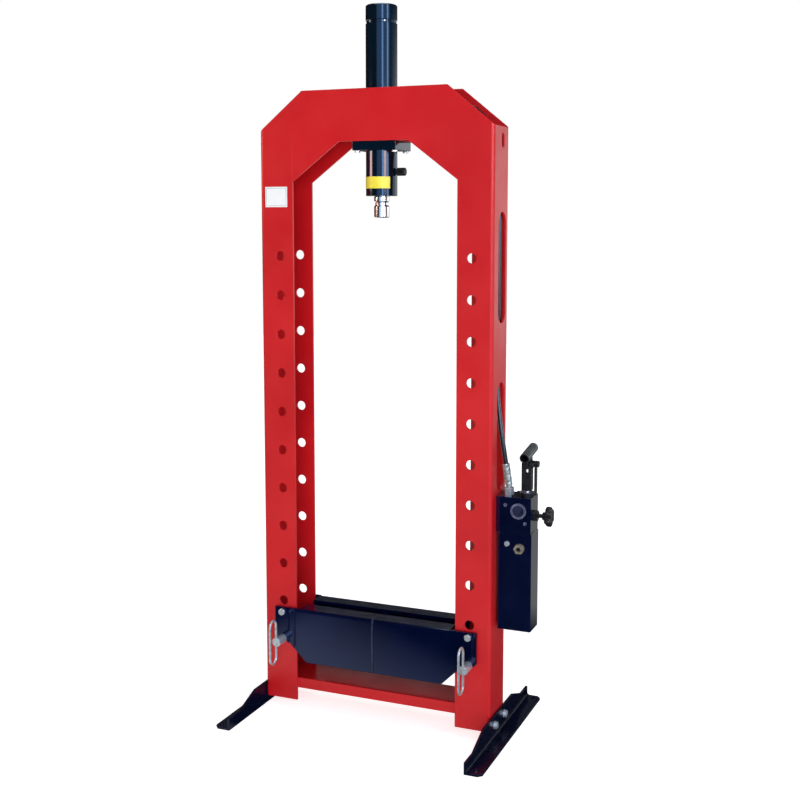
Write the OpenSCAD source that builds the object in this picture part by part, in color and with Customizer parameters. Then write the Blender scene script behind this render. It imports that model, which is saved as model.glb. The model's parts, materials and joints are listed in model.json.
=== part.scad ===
// Hand-pumped hydraulic shop press: two folded channel uprights joined by a welded head and a low
// crossbeam, a bed that stands on two pull-out pins, a single-acting cylinder hung in the head, and
// a lever pump on the right upright. Millimetres, +Z up, floor at z = 0, X across the front,
// -Y towards the operator, origin on the floor midway between the four anchor holes.

/* [Frame] */
// Outer width over the two uprights
frame_w = 624; // [580:2:700]
// Height of the head's top edge above the floor
frame_top = 1598; // [1560:2:1680]
// Depth of the uprights, front face to rear face
frame_depth = 114; // [108:1:126]
// Width of an upright's front and rear flange
flange_w = 92; // [84:1:100]
// Thickness of the folded sheet
sheet = 6; // [4:0.5:8]
// Inner radius of the folds
bend_r = 3; // [2:0.5:5]
// Height of the uprights' lower ends above the floor
upright_lift = 22; // [14:1:24]
// Height of the head plates between the window and the top edge
head_h = 127; // [115:1:140]
// Width of the head's outer corner cuts
outer_cut_w = 119; // [105:1:135]
// Height of the head's outer corner cuts
outer_cut_h = 97; // [85:1:110]
// Width of the window's upper corner gussets
inner_cut_w = 128; // [110:1:140]
// Height of the window's upper corner gussets
inner_cut_h = 97; // [85:1:110]

/* [Pin holes] */
// Diameter of the pin holes in the flanges
hole_d = 24; // [20:0.5:28]
// Distance from an upright's outer face to its hole column
hole_inset = 55; // [48:1:60]
// Spacing of the pin holes
hole_pitch = 100; // [90:1:102]
// Number of holes in a column
hole_count = 11; // [9:1:11]
// Height of the lowest hole above the floor
hole_low = 188; // [180:1:200]

/* [Web slots] */
// Width of the two long slots in the web of the upright that carries the pump
slot_w = 56; // [44:1:60]
// Distance of the slots behind the middle of the web
slot_y = 10; // [0:1:10]
// Length of the long slots
slot_len = 268; // [220:2:280]
// Height of the lower slot's bottom end
slot_low = 617; // [614:1:640]
// Height of the upper slot's bottom end
slot_high = 1030; // [1000:2:1060]
// Width of the short slot near the top of the web
peep_w = 21; // [14:1:28]
// Length of the short slot
peep_len = 37; // [30:1:50]
// Distance of the short slot below the top of the web
peep_drop = 15; // [10:1:30]

/* [Crossbeam] */
// Height of the crossbeam's lips
beam_h = 28; // [24:1:40]
// Height of the crossbeam's lower edge above the floor
beam_low = 54; // [50:1:66]

/* [Feet] */
// Length of a foot, front to back
foot_len = 500; // [460:2:560]
// Width of a foot's floor leg, from the upright's face outwards
foot_w = 44; // [38:1:52]
// Thickness of the foot's angle section
foot_t = 6; // [5:0.5:8]
// Height of the foot's upright leg at its middle
foot_h = 58; // [50:1:70]
// Height of the foot's upright leg at its ends
foot_end_h = 30; // [20:1:40]
// Length of the foot's high middle stretch
foot_mid_len = 230; // [180:2:260]
// Length of the low stretch at each end
foot_end_len = 55; // [40:1:80]
// Size of the cut at the outer corners of the floor leg
foot_corner = 10; // [4:1:14]
// Diameter of the floor anchor holes
anchor_d = 11; // [9:0.5:14]
// Distance of an anchor hole from the foot's end
anchor_inset = 20; // [16:1:30]
// Spacing of the two bolts through a foot
foot_bolt_gap = 76; // [60:1:84]
// Height of the foot bolts above the floor
foot_bolt_z = 36; // [34:1:38]
// Thread diameter of the foot bolts
foot_bolt_d = 10; // [8:1:12]

/* [Bed] */
// Reach of the bed's ears beyond the pins' centres
ear_reach = 21; // [18:1:30]
// Height of the bed plates
bed_h = 141; // [130:1:150]
// Height of the bed's top above the lowest pin hole
bed_rise = 84; // [76:1:92]
// Thickness of the bed plates
bed_t = 8; // [6:0.5:10]
// Running gap between a bed plate and the uprights
bed_gap = 1; // [0.5:0.25:2]
// Reach of the folded top flange, outside to edge
bed_flange = 47; // [40:1:50]
// Gap between the ends of the top flange and the uprights
bed_side_gap = 12; // [8:1:20]
// Distance of an ear's lower edge below the pin's centre
ear_drop = 10; // [8:0.5:12]
// Width of an ear from the bed's end to the slanted cut
ear_w = 42; // [40:1:46]
// Width of the slanted cut below an ear
bed_slant_w = 48; // [40:1:56]
// Size of the cut at an ear's outer lower corner
ear_corner = 16; // [10:1:17]
// Thickness of the ribs between the bed plates
rib_t = 8; // [6:0.5:10]
// Height of the ribs' lower edge above the bed's lower edge
rib_lift = 4; // [0:1:20]
// Distance of the clamp bolts below the bed's top
clamp_drop = 12; // [10:1:20]
// Thread diameter of the clamp bolts
clamp_d = 10; // [8:1:10]
// Width of the raised centre mark on the bed's front plate
mark_w = 5; // [2:0.5:7]
// Height of the raised centre mark
mark_t = 1.5; // [0.5:0.25:2]

/* [Bed pins] */
// Clearance all round a pin in its holes and saddles
pin_clear = 0.3; // [0.2:0.05:0.6]
// Reach of a pin in front of the bed
pin_front = 35; // [30:1:50]
// Reach of a pin behind the bed
pin_rear = 8; // [4:1:20]
// Wire diameter of the pull loops
loop_wire = 6; // [5:0.5:8]
// Outer width of a pull loop
loop_w = 39; // [32:1:46]
// Outer height of a pull loop
loop_h = 120; // [100:1:140]
// Height of a loop's middle above the pin
loop_rise = 5; // [0:1:10]

/* [Cylinder] */
// Outer diameter of the barrel
barrel_d = 78; // [72:1:82]
// Thickness of the barrel's wall
barrel_wall = 11; // [9:0.5:14]
// Length of the barrel below the head's lower edge
barrel_drop = 133; // [125:1:145]
// Length of the barrel above the head's top edge
barrel_rise = 158; // [150:1:190]
// Height of the end cap
cap_h = 45; // [36:1:60]
// Chamfer at the end cap's top edge
cap_cut = 3; // [1:0.5:5]
// Height of the groove for the cap's screws
cap_groove_h = 7; // [6:0.5:9]
// Depth of the groove for the cap's screws
cap_groove = 2; // [1:0.5:3]
// Number of screws round the cap
cap_screw_count = 6; // [4:1:8]
// Diameter of the cap screws
cap_screw_d = 5; // [4:0.5:6]
// Width of the mounting plate across the front
mount_w = 116; // [112:1:128]
// Depth of the mounting plate
mount_depth = 100; // [94:1:106]
// Thickness of the mounting plate
mount_t = 22; // [16:1:28]
// Thread diameter of the mounting bolts
mount_bolt_d = 8; // [6:1:8]
// Distance of a mounting bolt from the plate's side edge
mount_bolt_inset = 8; // [7:0.5:9]
// Distance between the front and rear mounting bolts
mount_bolt_gap = 70; // [60:1:76]
// Width of the two bars across the head
bar_w = 22; // [20:1:24]
// Height of the two bars across the head
bar_h = 24; // [18:1:32]
// Height of the coloured band round the barrel
band_h = 29; // [20:1:36]
// Distance of the band above the barrel's lower end
band_lift = 18; // [12:1:24]
// Angle that the band covers
band_angle = 150; // [90:5:180]
// Thickness of the band
band_t = 0.4; // [0.2:0.1:0.8]
// Diameter of the bleed knob
bleed_d = 20; // [16:1:24]
// Length of the bleed knob outside the barrel
bleed_len = 25; // [20:1:32]
// Height of the bleed knob above the barrel's lower end
bleed_lift = 59; // [50:1:70]

/* [Ram] */
// Thickness of the gland between the ram rod and the bore
gland_wall = 10; // [8:0.5:12]
// Stroke of the ram
stroke = 150; // [120:2:156]
// Height of the piston
piston_h = 36; // [30:1:44]
// Height of the rod gland
gland_h = 34; // [28:1:40]
// Running clearance of the piston and the rod, all round
run_clear = 0.05; // [0.02:0.01:0.09]
// Diameter of the pressing nose
nose_d = 38; // [34:1:44]
// Length of the pressing nose
nose_len = 52; // [44:1:64]
// Diameter of the waist in the nose
waist_d = 32; // [28:1:33]
// Height of the waist
waist_h = 7; // [4:0.5:10]
// Distance of the waist below the nose's upper end
waist_drop = 14; // [10:1:18]
// Wire diameter of the return spring
spring_wire = 5; // [4:0.5:6]
// Gap between the return spring and the bore
spring_gap = 4.5; // [4:0.5:7]
// Number of turns of the return spring
spring_turns = 10; // [8:1:12]

/* [Pump] */
// Height of the tank's bottom above the floor
pump_z = 277; // [260:1:290]
// Width of the tank
tank_w = 84; // [76:1:92]
// Height of the tank
tank_h = 245; // [230:1:250]
// Thickness of the tank's walls
tank_wall = 3; // [2:0.5:4]
// Gap between the tank and the upright
tank_gap = 6; // [4:0.5:8]
// Width of the pump head
head_block_w = 88; // [86:1:94]
// Height of the pump head
head_block_h = 88; // [80:1:89]
// Depth of the tank and the pump head
pump_depth = 64; // [62:1:70]
// Distance of the pump behind the middle of the web
pump_y = 10; // [6:1:11]
// Diameter of the plunger
plunger_d = 17; // [14:1:18]
// Distance of the plunger from the upright's face
plunger_x = 69; // [67:0.5:69]
// Diameter of the plunger gland
collar_d = 38; // [34:1:38]
// Height of the plunger gland
collar_h = 10; // [8:1:14]
// Width of the plunger's clevis
clevis_w = 24; // [22:1:24]
// Depth of the clevis
clevis_depth = 20; // [18:1:22]
// Height of the clevis
clevis_h = 68; // [60:1:70]
// Gap between the gland and the clevis with the plunger down
clevis_gap = 4; // [3:0.5:8]
// Height of the clevis pin below the clevis's top
clevis_pin_drop = 7; // [6:0.5:8]
// Diameter of the clevis pin
clevis_pin_d = 8; // [6:0.5:8]
// Distance from the plunger back to the lever's fulcrum
lever_arm = 24; // [22:0.5:24]
// Diameter of the fulcrum pin
fulcrum_d = 10; // [8:0.5:10]
// Outer diameter of the lever's socket tube
socket_d = 24; // [22:1:27]
// Bore of the socket tube
socket_bore = 17; // [14:0.5:18]
// Length of the socket tube
socket_len = 82; // [76:1:90]
// Slope of the socket tube with the plunger down, rising to the rear
socket_tilt = 10; // [6:0.5:12]
// Distance of the socket tube's middle behind the plunger
socket_set = 12; // [10:0.5:14]
// Height of the socket tube's middle above the clevis, less its radius
socket_gap = 9.5; // [9:0.5:12]
// Thickness of the lever's tongue
tongue_t = 8; // [6:0.5:9]
// Side clearance of the tongue
tongue_clear = 0.5; // [0.3:0.1:0.8]
// Diameter of the release valve's stem
stem_d = 10; // [8:0.5:12]
// Diameter of the release knob over its lobes
star_d = 50; // [44:1:56]
// Thickness of the release knob
star_t = 24; // [18:1:28]
// Number of lobes on the release knob
star_lobes = 6; // [5:1:8]
// Distance of the release knob from the pump head
star_out = 22; // [20:1:30]
// Height of the release valve above the pump head's underside
release_rise = 41; // [34:1:46]
// Diameter of the valve cap on the pump head's front
valve_cap_d = 40; // [34:1:42]
// Width across the flats of the filler plug
filler_af = 22; // [18:1:26]

/* [Hose] */
// Outer diameter of the hydraulic hose
hose_d = 12; // [10:0.5:12]
// Diameter of the hose's crimped ferrules
ferrule_d = 18; // [16:0.5:19]
// Length of the crimped ferrules
ferrule_len = 58; // [45:1:60]
// Lean of the pump end of the hose towards the upright
hose_lean = 9; // [6:0.5:10]

/* [Data plate] */
// Width of the data plate
data_w = 62; // [50:1:70]
// Height of the data plate
data_h = 51; // [40:1:60]
// Thickness of the data plate
data_t = 1; // [0.5:0.1:2]
// Height of the data plate's lower edge above the highest pin hole
data_rise = 123; // [110:1:130]

/* [Hidden] */
$fn = 64;

red = "#c4202c";
navy = "#0b1030";
zinc = "#c9ccd0";
steel = "#9aa0a6";
chrome = "#dfe3e6";
black = "#16171a";
yellow = "#e8c21c";

eps = 0.01;          // overlap between joined solids of one piece
over = 1;            // how far a cut runs past the face it starts from
thread_clear = 0.1;  // room round a bolt in its hole, each side

// Places in the frame
side_x = frame_w / 2;
inner_x = side_x - flange_w;
web_in = side_x - sheet;
half_d = frame_depth / 2;
flange_in = half_d - sheet;
hole_x = side_x - hole_inset;
hole_top = hole_low + (hole_count - 1) * hole_pitch;
cut_z = frame_top - outer_cut_h;
cut_slope = outer_cut_h / outer_cut_w;
seam_top = cut_z + flange_w * cut_slope;
window_top = frame_top - head_h;
gusset_x = inner_x - inner_cut_w;
gusset_z = window_top - inner_cut_h;
peep_z = cut_z - peep_drop - peep_len;
anchor_x = side_x + (foot_w + foot_t) / 2;
anchor_y = foot_len / 2 - anchor_inset;

// Hexagon heads, nuts and washers, from the thread diameter
function hex_af(d) = 1.6 * d;
function hex_h(d) = 0.65 * d;
washer_t = 2;

// Places in the bed
bed_w = 2 * (hole_x + ear_reach);
bed_top = hole_low + bed_rise;
bed_low = bed_top - bed_h;
ear_low = hole_low - ear_drop;
bed_in = half_d + bed_gap;
bed_out = bed_in + bed_t;
bed_fold_x = inner_x - bed_side_gap;
clamp_z = bed_top - clamp_drop;
pin_d = hole_d - 2 * pin_clear;
saddle_d = hole_d;
rib_end_x = bed_fold_x - rib_t / 2;

// Places in the cylinder
bore_d = barrel_d - 2 * barrel_wall;
rod_d = bore_d - 2 * gland_wall;
spring_d = bore_d - spring_wire - 2 * spring_gap;
barrel_low = window_top - barrel_drop;
barrel_top = frame_top + barrel_rise;
cap_spigot = 12;
cap_screw_len = 8;
cap_fit = 0.1;
mount_low = window_top - mount_t;
mount_bolt_x = mount_w / 2 - mount_bolt_inset;
bar_x = max(mount_bolt_x, barrel_d / 2 + bar_w / 2 + 1);
thread_len = 16;
gland_top = barrel_low + gland_h;
stop_gap = 2;
piston_low = gland_top + stroke + stop_gap;
piston_top = piston_low + piston_h;
seal_h = 8;
seal_depth = 4;
spigot_d = rod_d * 0.6;
spigot_len = 26;
wiper_h = 6;
wiper_ring = gland_wall / 2;
nose_top = barrel_low - stop_gap;
nose_low = nose_top - nose_len;
port_z = piston_top + 16;
port_d = 14;
port_len = 30;
port_af = 22;
bleed_thread = 12;
spring_low = piston_top;
spring_high = barrel_top - cap_spigot;

// Places in the pump
pump_front = pump_y - pump_depth / 2;
pump_back = pump_y + pump_depth / 2;
tank_x = side_x + tank_gap;
block_x = side_x;
block_right = block_x + head_block_w;
block_low = pump_z + tank_h;
block_top = block_low + head_block_h;
axis_x = side_x + plunger_x;
axis_y = pump_y;
fulcrum_y = axis_y + lever_arm;
plunger_bore_low = block_low + 20;
plunger_low = plunger_bore_low + 3;
collar_top = block_top + collar_h;
clevis_low = collar_top + clevis_gap;
clevis_top = clevis_low + clevis_h;
plunger_seat = 16;
lever_z = clevis_top - clevis_pin_drop;
socket_z = clevis_top + socket_gap + socket_d / 2;
arm_t = 4;
arm_r = fulcrum_d / 2 + 3;
slot_play = 0.8;
fork_gap = tongue_t + 2 * tongue_clear;
arm_in = clevis_w / 2 + tongue_clear;
pin_knob = 3;
boss_r = 7;
boss_h = 34;
tie_d = 6;
tie_depth = 18;
tie_edge = 9;
tie_left = block_x + 12;
tie_mid = block_x + 42;
tie_spots = [[tie_mid, pump_front + tie_edge], [tie_left, pump_back - tie_edge],
  [tie_mid, pump_back - tie_edge]];
release_y = pump_y - 2;
release_z = block_low + release_rise;
release_hole = block_right - axis_x - plunger_d / 2 - 3;
valve_in = 57;
valve_rise = 55;
valve_x = block_x + valve_in;
valve_z = block_low + valve_rise;
plug_d = 9;
plug_left = 24;
plug_high = 68;
plug_right = 74;
plug_low = 25;
plug_spots = [[block_x + plug_left, block_low + plug_high],
  [block_x + plug_right, block_low + plug_low]];
filler_in = 54;
filler_drop = 38;
filler_x = tank_x + filler_in;
filler_z = block_low - filler_drop;
level_in = 23;
level_drop = 28;
level_x = tank_x + level_in;
level_z = block_low - level_drop;
level_d = 13;
fitting_h = 18;
fitting_in = 24;
fitting_x = block_x + fitting_in;
fitting_y = pump_y - 2;
mount_screw_d = 10;
mount_screw_depth = 20;
mount_screw_z = block_low + head_block_h / 2;
mount_screw_gap = 24;

// Hose route: its two ends follow the fittings, the rest are round numbers
lean = [-sin(hose_lean), 0, cos(hose_lean)];
hose_start = [fitting_x, fitting_y, block_top + fitting_h] + ferrule_len * lean;
port_end = barrel_d / 2 + port_len;
hose_end = [port_end + ferrule_len, 0, port_z];
hose_points = [hose_start, hose_start + 20 * lean, [316, 9, 752], [308, 13, 800], [301, 18, 850],
  [298, 24, 910], [298, 28, 980], [298, 28, 1080], [298, 28, 1180], [298, 28, 1280],
  [298, 28, 1370], [296, 27, 1430], [284, 25, 1484], [258, 21, 1526], [226, 15, 1552],
  hose_end + [60, 6, -8], hose_end + [20, 0, 0], hose_end];
hose_sides = 10;
hose_steps = 3;

// Point on a smooth curve through the list p, u counted in points
function on_curve(p, u) =
  let (n = len(p) - 1, i = min(floor(u), n - 1), t = u - i,
    a = p[max(i - 1, 0)], b = p[i], c = p[i + 1], d = p[min(i + 2, n)])
  0.5 * (2 * b + (c - a) * t + (2 * a - 5 * b + 4 * c - d) * t * t
    + (3 * b - a - 3 * c + d) * t * t * t);
function unit(v) = v / norm(v);

// Round tube of radius r along the points c, with flat ends
module tube_along(c, r, sides, ref) {
  last = len(c) - 1;
  rings = [for (i = [0:last])
    let (t = unit(c[min(i + 1, last)] - c[max(i - 1, 0)]), a = unit(cross(t, ref)), b = cross(t, a))
    for (k = [0:sides - 1])
      c[i] + r * (cos(360 * k / sides) * a + sin(360 * k / sides) * b)];
  walls = [for (i = [0:last - 1], k = [0:sides - 1])
    let (m = (k + 1) % sides, here = i * sides, next = here + sides)
    each [[here + k, next + k, next + m], [here + k, next + m, here + m]]];
  first_end = [[for (k = [0:sides - 1]) k]];
  last_end = [[for (k = [sides - 1:-1:0]) last * sides + k]];
  polyhedron(rings, concat(walls, first_end, last_end), convexity = 6);
}

// Outline in X and Z, thickened from y0 to y1
module plate_xz(points, y0, y1) {
  translate([0, y1, 0]) rotate([90, 0, 0]) linear_extrude(y1 - y0) polygon(points);
}

// Outline in Y and Z, thickened from x0 to x1
module plate_yz(points, x0, x1) {
  translate([x0, 0, 0]) rotate([90, 0, 90]) linear_extrude(x1 - x0) polygon(points);
}

// Round bars along the three axes
module rod_x(d, x0, x1, y, z) {
  translate([x0, y, z]) rotate([0, 90, 0]) cylinder(d = d, h = x1 - x0);
}
module rod_y(d, y0, y1, x, z) {
  translate([x, y0, z]) rotate([-90, 0, 0]) cylinder(d = d, h = y1 - y0);
}
module rod_z(d, z0, z1, x = 0, y = 0) {
  translate([x, y, z0]) cylinder(d = d, h = z1 - z0);
}

// Hexagon of width af across the flats, standing on z = 0
module hexagon(af, h) {
  cylinder(d = af / cos(30), h = h, $fn = 6);
}

// Hexagon bolt: head above z = 0, shank of length l below it
module hex_bolt(d, l) {
  hexagon(hex_af(d), hex_h(d));
  translate([0, 0, -l]) cylinder(d = d, h = l + eps);
}

// Box between two corners
module box(a, b) {
  translate(a) cube(b - a);
}

// Long hole through a web, upright, with round ends
module web_slot(w, len, y, z) {
  for (end_z = [z + w / 2, z + len - w / 2]) rod_x(w, web_in - over, side_x + over, y, end_z);
  box([web_in - over, y - w / 2, z + w / 2], [side_x + over, y + w / 2, z + len - w / 2]);
}

// Section of an upright's outside, with the web's two corners rounded to radius r
module channel_outline(x0, x1, half_y, r) {
  translate([x0, -half_y]) square([x1 - r - x0, 2 * half_y]);
  translate([x1 - r - eps, r - half_y]) square([r + eps, 2 * (half_y - r)]);
  for (s = [-1, 1]) translate([x1 - r, s * (half_y - r)]) circle(r);
}

// Right upright: folded channel, open towards the middle of the press. Only the one that carries the
// pump has the web slots, for the hose, and the pump's screw holes
module upright(with_pump) {
  difference() {
    translate([0, 0, upright_lift]) linear_extrude(frame_top - upright_lift) difference() {
      channel_outline(inner_x, side_x, half_d, bend_r + sheet);
      channel_outline(inner_x - over, web_in, flange_in, bend_r);
    }
    plate_xz([[side_x + over, cut_z - over * cut_slope],
      [inner_x - over, seam_top + over * cut_slope],
      [inner_x - over, frame_top + over], [side_x + over, frame_top + over]],
      -half_d - over, half_d + over);
    for (i = [0:hole_count - 1])
      rod_y(hole_d, -half_d - over, half_d + over, hole_x, hole_low + i * hole_pitch);
    for (s = [-1, 1]) rod_x(foot_bolt_d + 2 * thread_clear, web_in - over, side_x + over,
      s * foot_bolt_gap / 2, foot_bolt_z);
    if (with_pump) {
      web_slot(slot_w, slot_len, slot_y, slot_low);
      web_slot(slot_w, slot_len, slot_y, slot_high);
      web_slot(peep_w, peep_len, slot_y, peep_z);
      for (s = [-1, 1]) rod_x(mount_screw_d + 2 * thread_clear, web_in - over, side_x + over,
        pump_y + s * mount_screw_gap / 2, mount_screw_z);
    }
  }
}

module left_upright() {
  color(red) mirror([1, 0, 0]) upright(false);
}

module right_upright() {
  color(red) upright(true);
}

// Head plate between the uprights, with its gussets
module head_plate(y0, y1) {
  right = [[gusset_x, window_top], [inner_x, gusset_z], [inner_x, seam_top],
    [side_x - outer_cut_w, frame_top]];
  left = [for (i = [len(right) - 1:-1:0]) [-right[i][0], right[i][1]]];
  plate_xz(concat(right, left), y0, y1);
}

module head_front_plate() {
  color(red) head_plate(-half_d, -flange_in);
}

module head_rear_plate() {
  color(red) head_plate(flange_in, half_d);
}

// Two bars between the head plates that take the mounting bolts
module head_cross_bars() {
  color(red) for (s = [-1, 1]) difference() {
    translate([s * bar_x - bar_w / 2, -flange_in, window_top]) cube([bar_w, 2 * flange_in, bar_h]);
    for (t = [-1, 1]) rod_z(mount_bolt_d + 2 * thread_clear, window_top - over,
      window_top + thread_len + over, s * mount_bolt_x, t * mount_bolt_gap / 2);
  }
}

// Folded crossbeam with its flat side up, welded between the uprights' flanges; its corners are cut
// to clear their folds
module base_crossbeam() {
  beam_top = beam_low + beam_h;
  cut_x = web_in - bend_r;
  cut_y = flange_in - bend_r;
  color(red) difference() {
    translate([0, 0, beam_low]) linear_extrude(beam_h) polygon([[web_in, -cut_y], [web_in, cut_y],
      [cut_x, flange_in], [-cut_x, flange_in], [-web_in, cut_y], [-web_in, -cut_y],
      [-cut_x, -flange_in], [cut_x, -flange_in]]);
    box([-web_in - over, sheet - flange_in, beam_low - over],
      [web_in + over, flange_in - sheet, beam_top - sheet]);
  }
}

// Right foot: angle section bolted to the outside of the upright
module foot() {
  end_y = foot_len / 2;
  mid_y = foot_mid_len / 2;
  low_y = end_y - foot_end_len;
  out_x = side_x + foot_w;
  difference() {
    union() {
      plate_yz([[-end_y, 0], [end_y, 0], [end_y, foot_end_h], [low_y, foot_end_h], [mid_y, foot_h],
        [-mid_y, foot_h], [-low_y, foot_end_h], [-end_y, foot_end_h]], side_x, side_x + foot_t);
      linear_extrude(foot_t) polygon([[side_x + foot_t - eps, -end_y], [out_x - foot_corner, -end_y],
        [out_x, foot_corner - end_y], [out_x, end_y - foot_corner], [out_x - foot_corner, end_y],
        [side_x + foot_t - eps, end_y]]);
    }
    for (s = [-1, 1]) rod_z(anchor_d, -over, foot_t + over, anchor_x, s * anchor_y);
    for (s = [-1, 1]) rod_x(foot_bolt_d + 2 * thread_clear, side_x - over, side_x + foot_t + over,
      s * foot_bolt_gap / 2, foot_bolt_z);
  }
}

module left_foot() {
  color(navy) mirror([1, 0, 0]) foot();
}

module right_foot() {
  color(navy) foot();
}

// Places a child at each foot bolt, with +Z pointing outwards from the foot's face
module at_foot_bolts() {
  for (m = [0, 1], s = [-1, 1]) mirror([m, 0, 0])
    translate([side_x + foot_t, s * foot_bolt_gap / 2, foot_bolt_z]) rotate([0, 90, 0]) children();
}

module foot_bolts() {
  grip = washer_t + foot_t + sheet + hex_h(foot_bolt_d) + 3;
  color(zinc) at_foot_bolts() translate([0, 0, washer_t]) hex_bolt(foot_bolt_d, grip);
}

module foot_washers() {
  color(zinc) at_foot_bolts() difference() {
    cylinder(d = 2 * foot_bolt_d, h = washer_t);
    translate([0, 0, -over]) cylinder(d = foot_bolt_d + 2 * thread_clear, h = washer_t + 2 * over);
  }
}

module foot_nuts() {
  nut_h = 0.8 * foot_bolt_d;
  color(zinc) at_foot_bolts() translate([0, 0, -foot_t - sheet - nut_h]) difference() {
    hexagon(hex_af(foot_bolt_d), nut_h);
    translate([0, 0, -over]) cylinder(d = foot_bolt_d + 2 * thread_clear, h = nut_h + 2 * over);
  }
}

// Blank plate on the front of the left upright, above the top pin hole
module data_plate() {
  low = hole_top + data_rise;
  mid_x = -(inner_x + side_x) / 2;
  color("white") box([mid_x - data_w / 2, -half_d - data_t, low],
    [mid_x + data_w / 2, -half_d, low + data_h]);
}

// Thick plate round the barrel that bears up against the head
module mount_plate() {
  color(navy) difference() {
    box([-mount_w / 2, -mount_depth / 2, mount_low], [mount_w / 2, mount_depth / 2, window_top]);
    rod_z(barrel_d + 2 * cap_fit, mount_low - over, window_top + over);
    for (s = [-1, 1], t = [-1, 1]) rod_z(mount_bolt_d + 2 * thread_clear, mount_low - over,
      window_top + over, s * mount_bolt_x, t * mount_bolt_gap / 2);
  }
}

module mount_bolts() {
  color(zinc) for (s = [-1, 1], t = [-1, 1])
    translate([s * mount_bolt_x, t * mount_bolt_gap / 2, mount_low]) mirror([0, 0, 1])
      hex_bolt(mount_bolt_d, mount_t + thread_len);
}

module cylinder_barrel() {
  color(navy) difference() {
    rod_z(barrel_d, barrel_low, barrel_top);
    rod_z(bore_d, barrel_low - over, barrel_top + over);
    rod_x(port_d, 0, barrel_d, 0, port_z);
    rod_x(bleed_thread, 0, barrel_d, 0, barrel_low + bleed_lift);
  }
}

// Screwed end cap with a groove for its locking screws
module cylinder_cap() {
  r = barrel_d / 2;
  top = barrel_top + cap_h;
  color(navy) difference() {
    union() {
      rotate_extrude() polygon([[0, barrel_top], [r - cap_groove, barrel_top],
        [r - cap_groove, barrel_top + cap_groove_h], [r, barrel_top + cap_groove_h],
        [r, top - cap_cut], [r - cap_cut, top], [0, top]]);
      rod_z(bore_d - 2 * cap_fit, spring_high, barrel_top + eps);
    }
    at_cap_screws() translate([0, 0, -over]) cylinder(d = cap_screw_d, h = barrel_d);
  }
}

// Places a child at each cap screw, with +Z pointing out of the cap
module at_cap_screws() {
  first_angle = -55;
  screw_seat = barrel_d / 2 - cap_groove - cap_screw_len;
  for (i = [0:cap_screw_count - 1]) rotate([0, 0, first_angle + i * 360 / cap_screw_count])
    translate([screw_seat, 0, barrel_top + cap_groove_h / 2]) rotate([0, 90, 0]) children();
}

module cap_screws() {
  proud = 1.5;
  key_depth = 2;
  color(zinc) at_cap_screws() difference() {
    cylinder(d = cap_screw_d - 2 * thread_clear, h = cap_screw_len + proud);
    translate([0, 0, cap_screw_len + proud - key_depth]) hexagon(cap_screw_d / 2, key_depth + over);
  }
}

// Bush in the barrel's lower end that guides the rod
module rod_gland() {
  color(steel) difference() {
    rod_z(bore_d - 2 * cap_fit, barrel_low, gland_top);
    rod_z(rod_d + 2 * run_clear, barrel_low - over, gland_top + over);
    rod_z(rod_d + 2 * wiper_ring, barrel_low - over, barrel_low + wiper_h);
  }
}

module rod_wiper() {
  color(black) difference() {
    rod_z(rod_d + 2 * wiper_ring - 2 * cap_fit, barrel_low, barrel_low + wiper_h);
    rod_z(rod_d + 2 * run_clear, barrel_low - over, barrel_low + wiper_h + over);
  }
}

// Thin coloured band on the front left of the barrel's lower end
module barrel_band() {
  band_end = -35;
  low = barrel_low + band_lift;
  color(yellow) rotate([0, 0, band_end - band_angle]) rotate_extrude(angle = band_angle)
    translate([barrel_d / 2 + cap_fit, low]) square([band_t, band_h]);
}

// Knurled bleed knob screwed into the barrel's right side
module bleed_knob() {
  z = barrel_low + bleed_lift;
  neck = 3;
  r = barrel_d / 2;
  color(black) {
    rod_x(bleed_d, r + neck, r + bleed_len, 0, z);
    rod_x(bleed_thread - 2 * thread_clear, bore_d / 2 + 3, r + neck + eps, 0, z);
  }
}

// Hexagon adapter that carries the hose's upper end
module cylinder_port() {
  r = barrel_d / 2;
  hex_t = 12;
  color(zinc) {
    rod_x(port_d - 2 * thread_clear, bore_d / 2 + 3, r + 2, 0, port_z);
    translate([r, 0, port_z]) rotate([0, 90, 0]) hexagon(port_af, hex_t);
    rod_x(port_d, r + hex_t - eps, port_end, 0, port_z);
  }
}

module hydraulic_hose() {
  n = (len(hose_points) - 1) * hose_steps;
  color(black) tube_along([for (i = [0:n]) on_curve(hose_points, i / hose_steps)], hose_d / 2,
    hose_sides, [0, 1, 0]);
}

// Crimped sleeve of length l standing on z = 0, with three pressed grooves
module ferrule(l) {
  groove = 1;
  groove_h = 3;
  difference() {
    cylinder(d = ferrule_d, h = l);
    for (i = [1:3]) translate([0, 0, i * l / 4 - groove_h / 2]) difference() {
      cylinder(d = ferrule_d + over, h = groove_h);
      translate([0, 0, -over]) cylinder(d = ferrule_d - 2 * groove, h = groove_h + 2 * over);
    }
  }
}

module upper_ferrule() {
  color(zinc) translate([port_end, 0, port_z]) rotate([0, 90, 0]) ferrule(ferrule_len);
}

// Leaning sleeve at the pump, on a neck that stands flat on its adapter
module lower_ferrule() {
  neck = 4;
  color(zinc) translate([fitting_x, fitting_y, block_top + fitting_h]) {
    difference() {
      rotate([0, -hose_lean, 0]) translate([0, 0, -ferrule_d]) cylinder(d = port_d,
        h = ferrule_d + ferrule_len / 2);
      translate([-2 * ferrule_d, -ferrule_d, -2 * ferrule_d])
        cube([4 * ferrule_d, 2 * ferrule_d, 2 * ferrule_d]);
    }
    rotate([0, -hose_lean, 0]) translate([0, 0, neck]) ferrule(ferrule_len - neck);
  }
}

// Hexagon adapter on top of the pump head
module pump_port() {
  stud = 14;
  color(zinc) translate([fitting_x, fitting_y, block_top]) {
    hexagon(port_af, fitting_h);
    translate([0, 0, -stud]) cylinder(d = port_d - 2 * thread_clear, h = stud + eps);
  }
}

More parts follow.
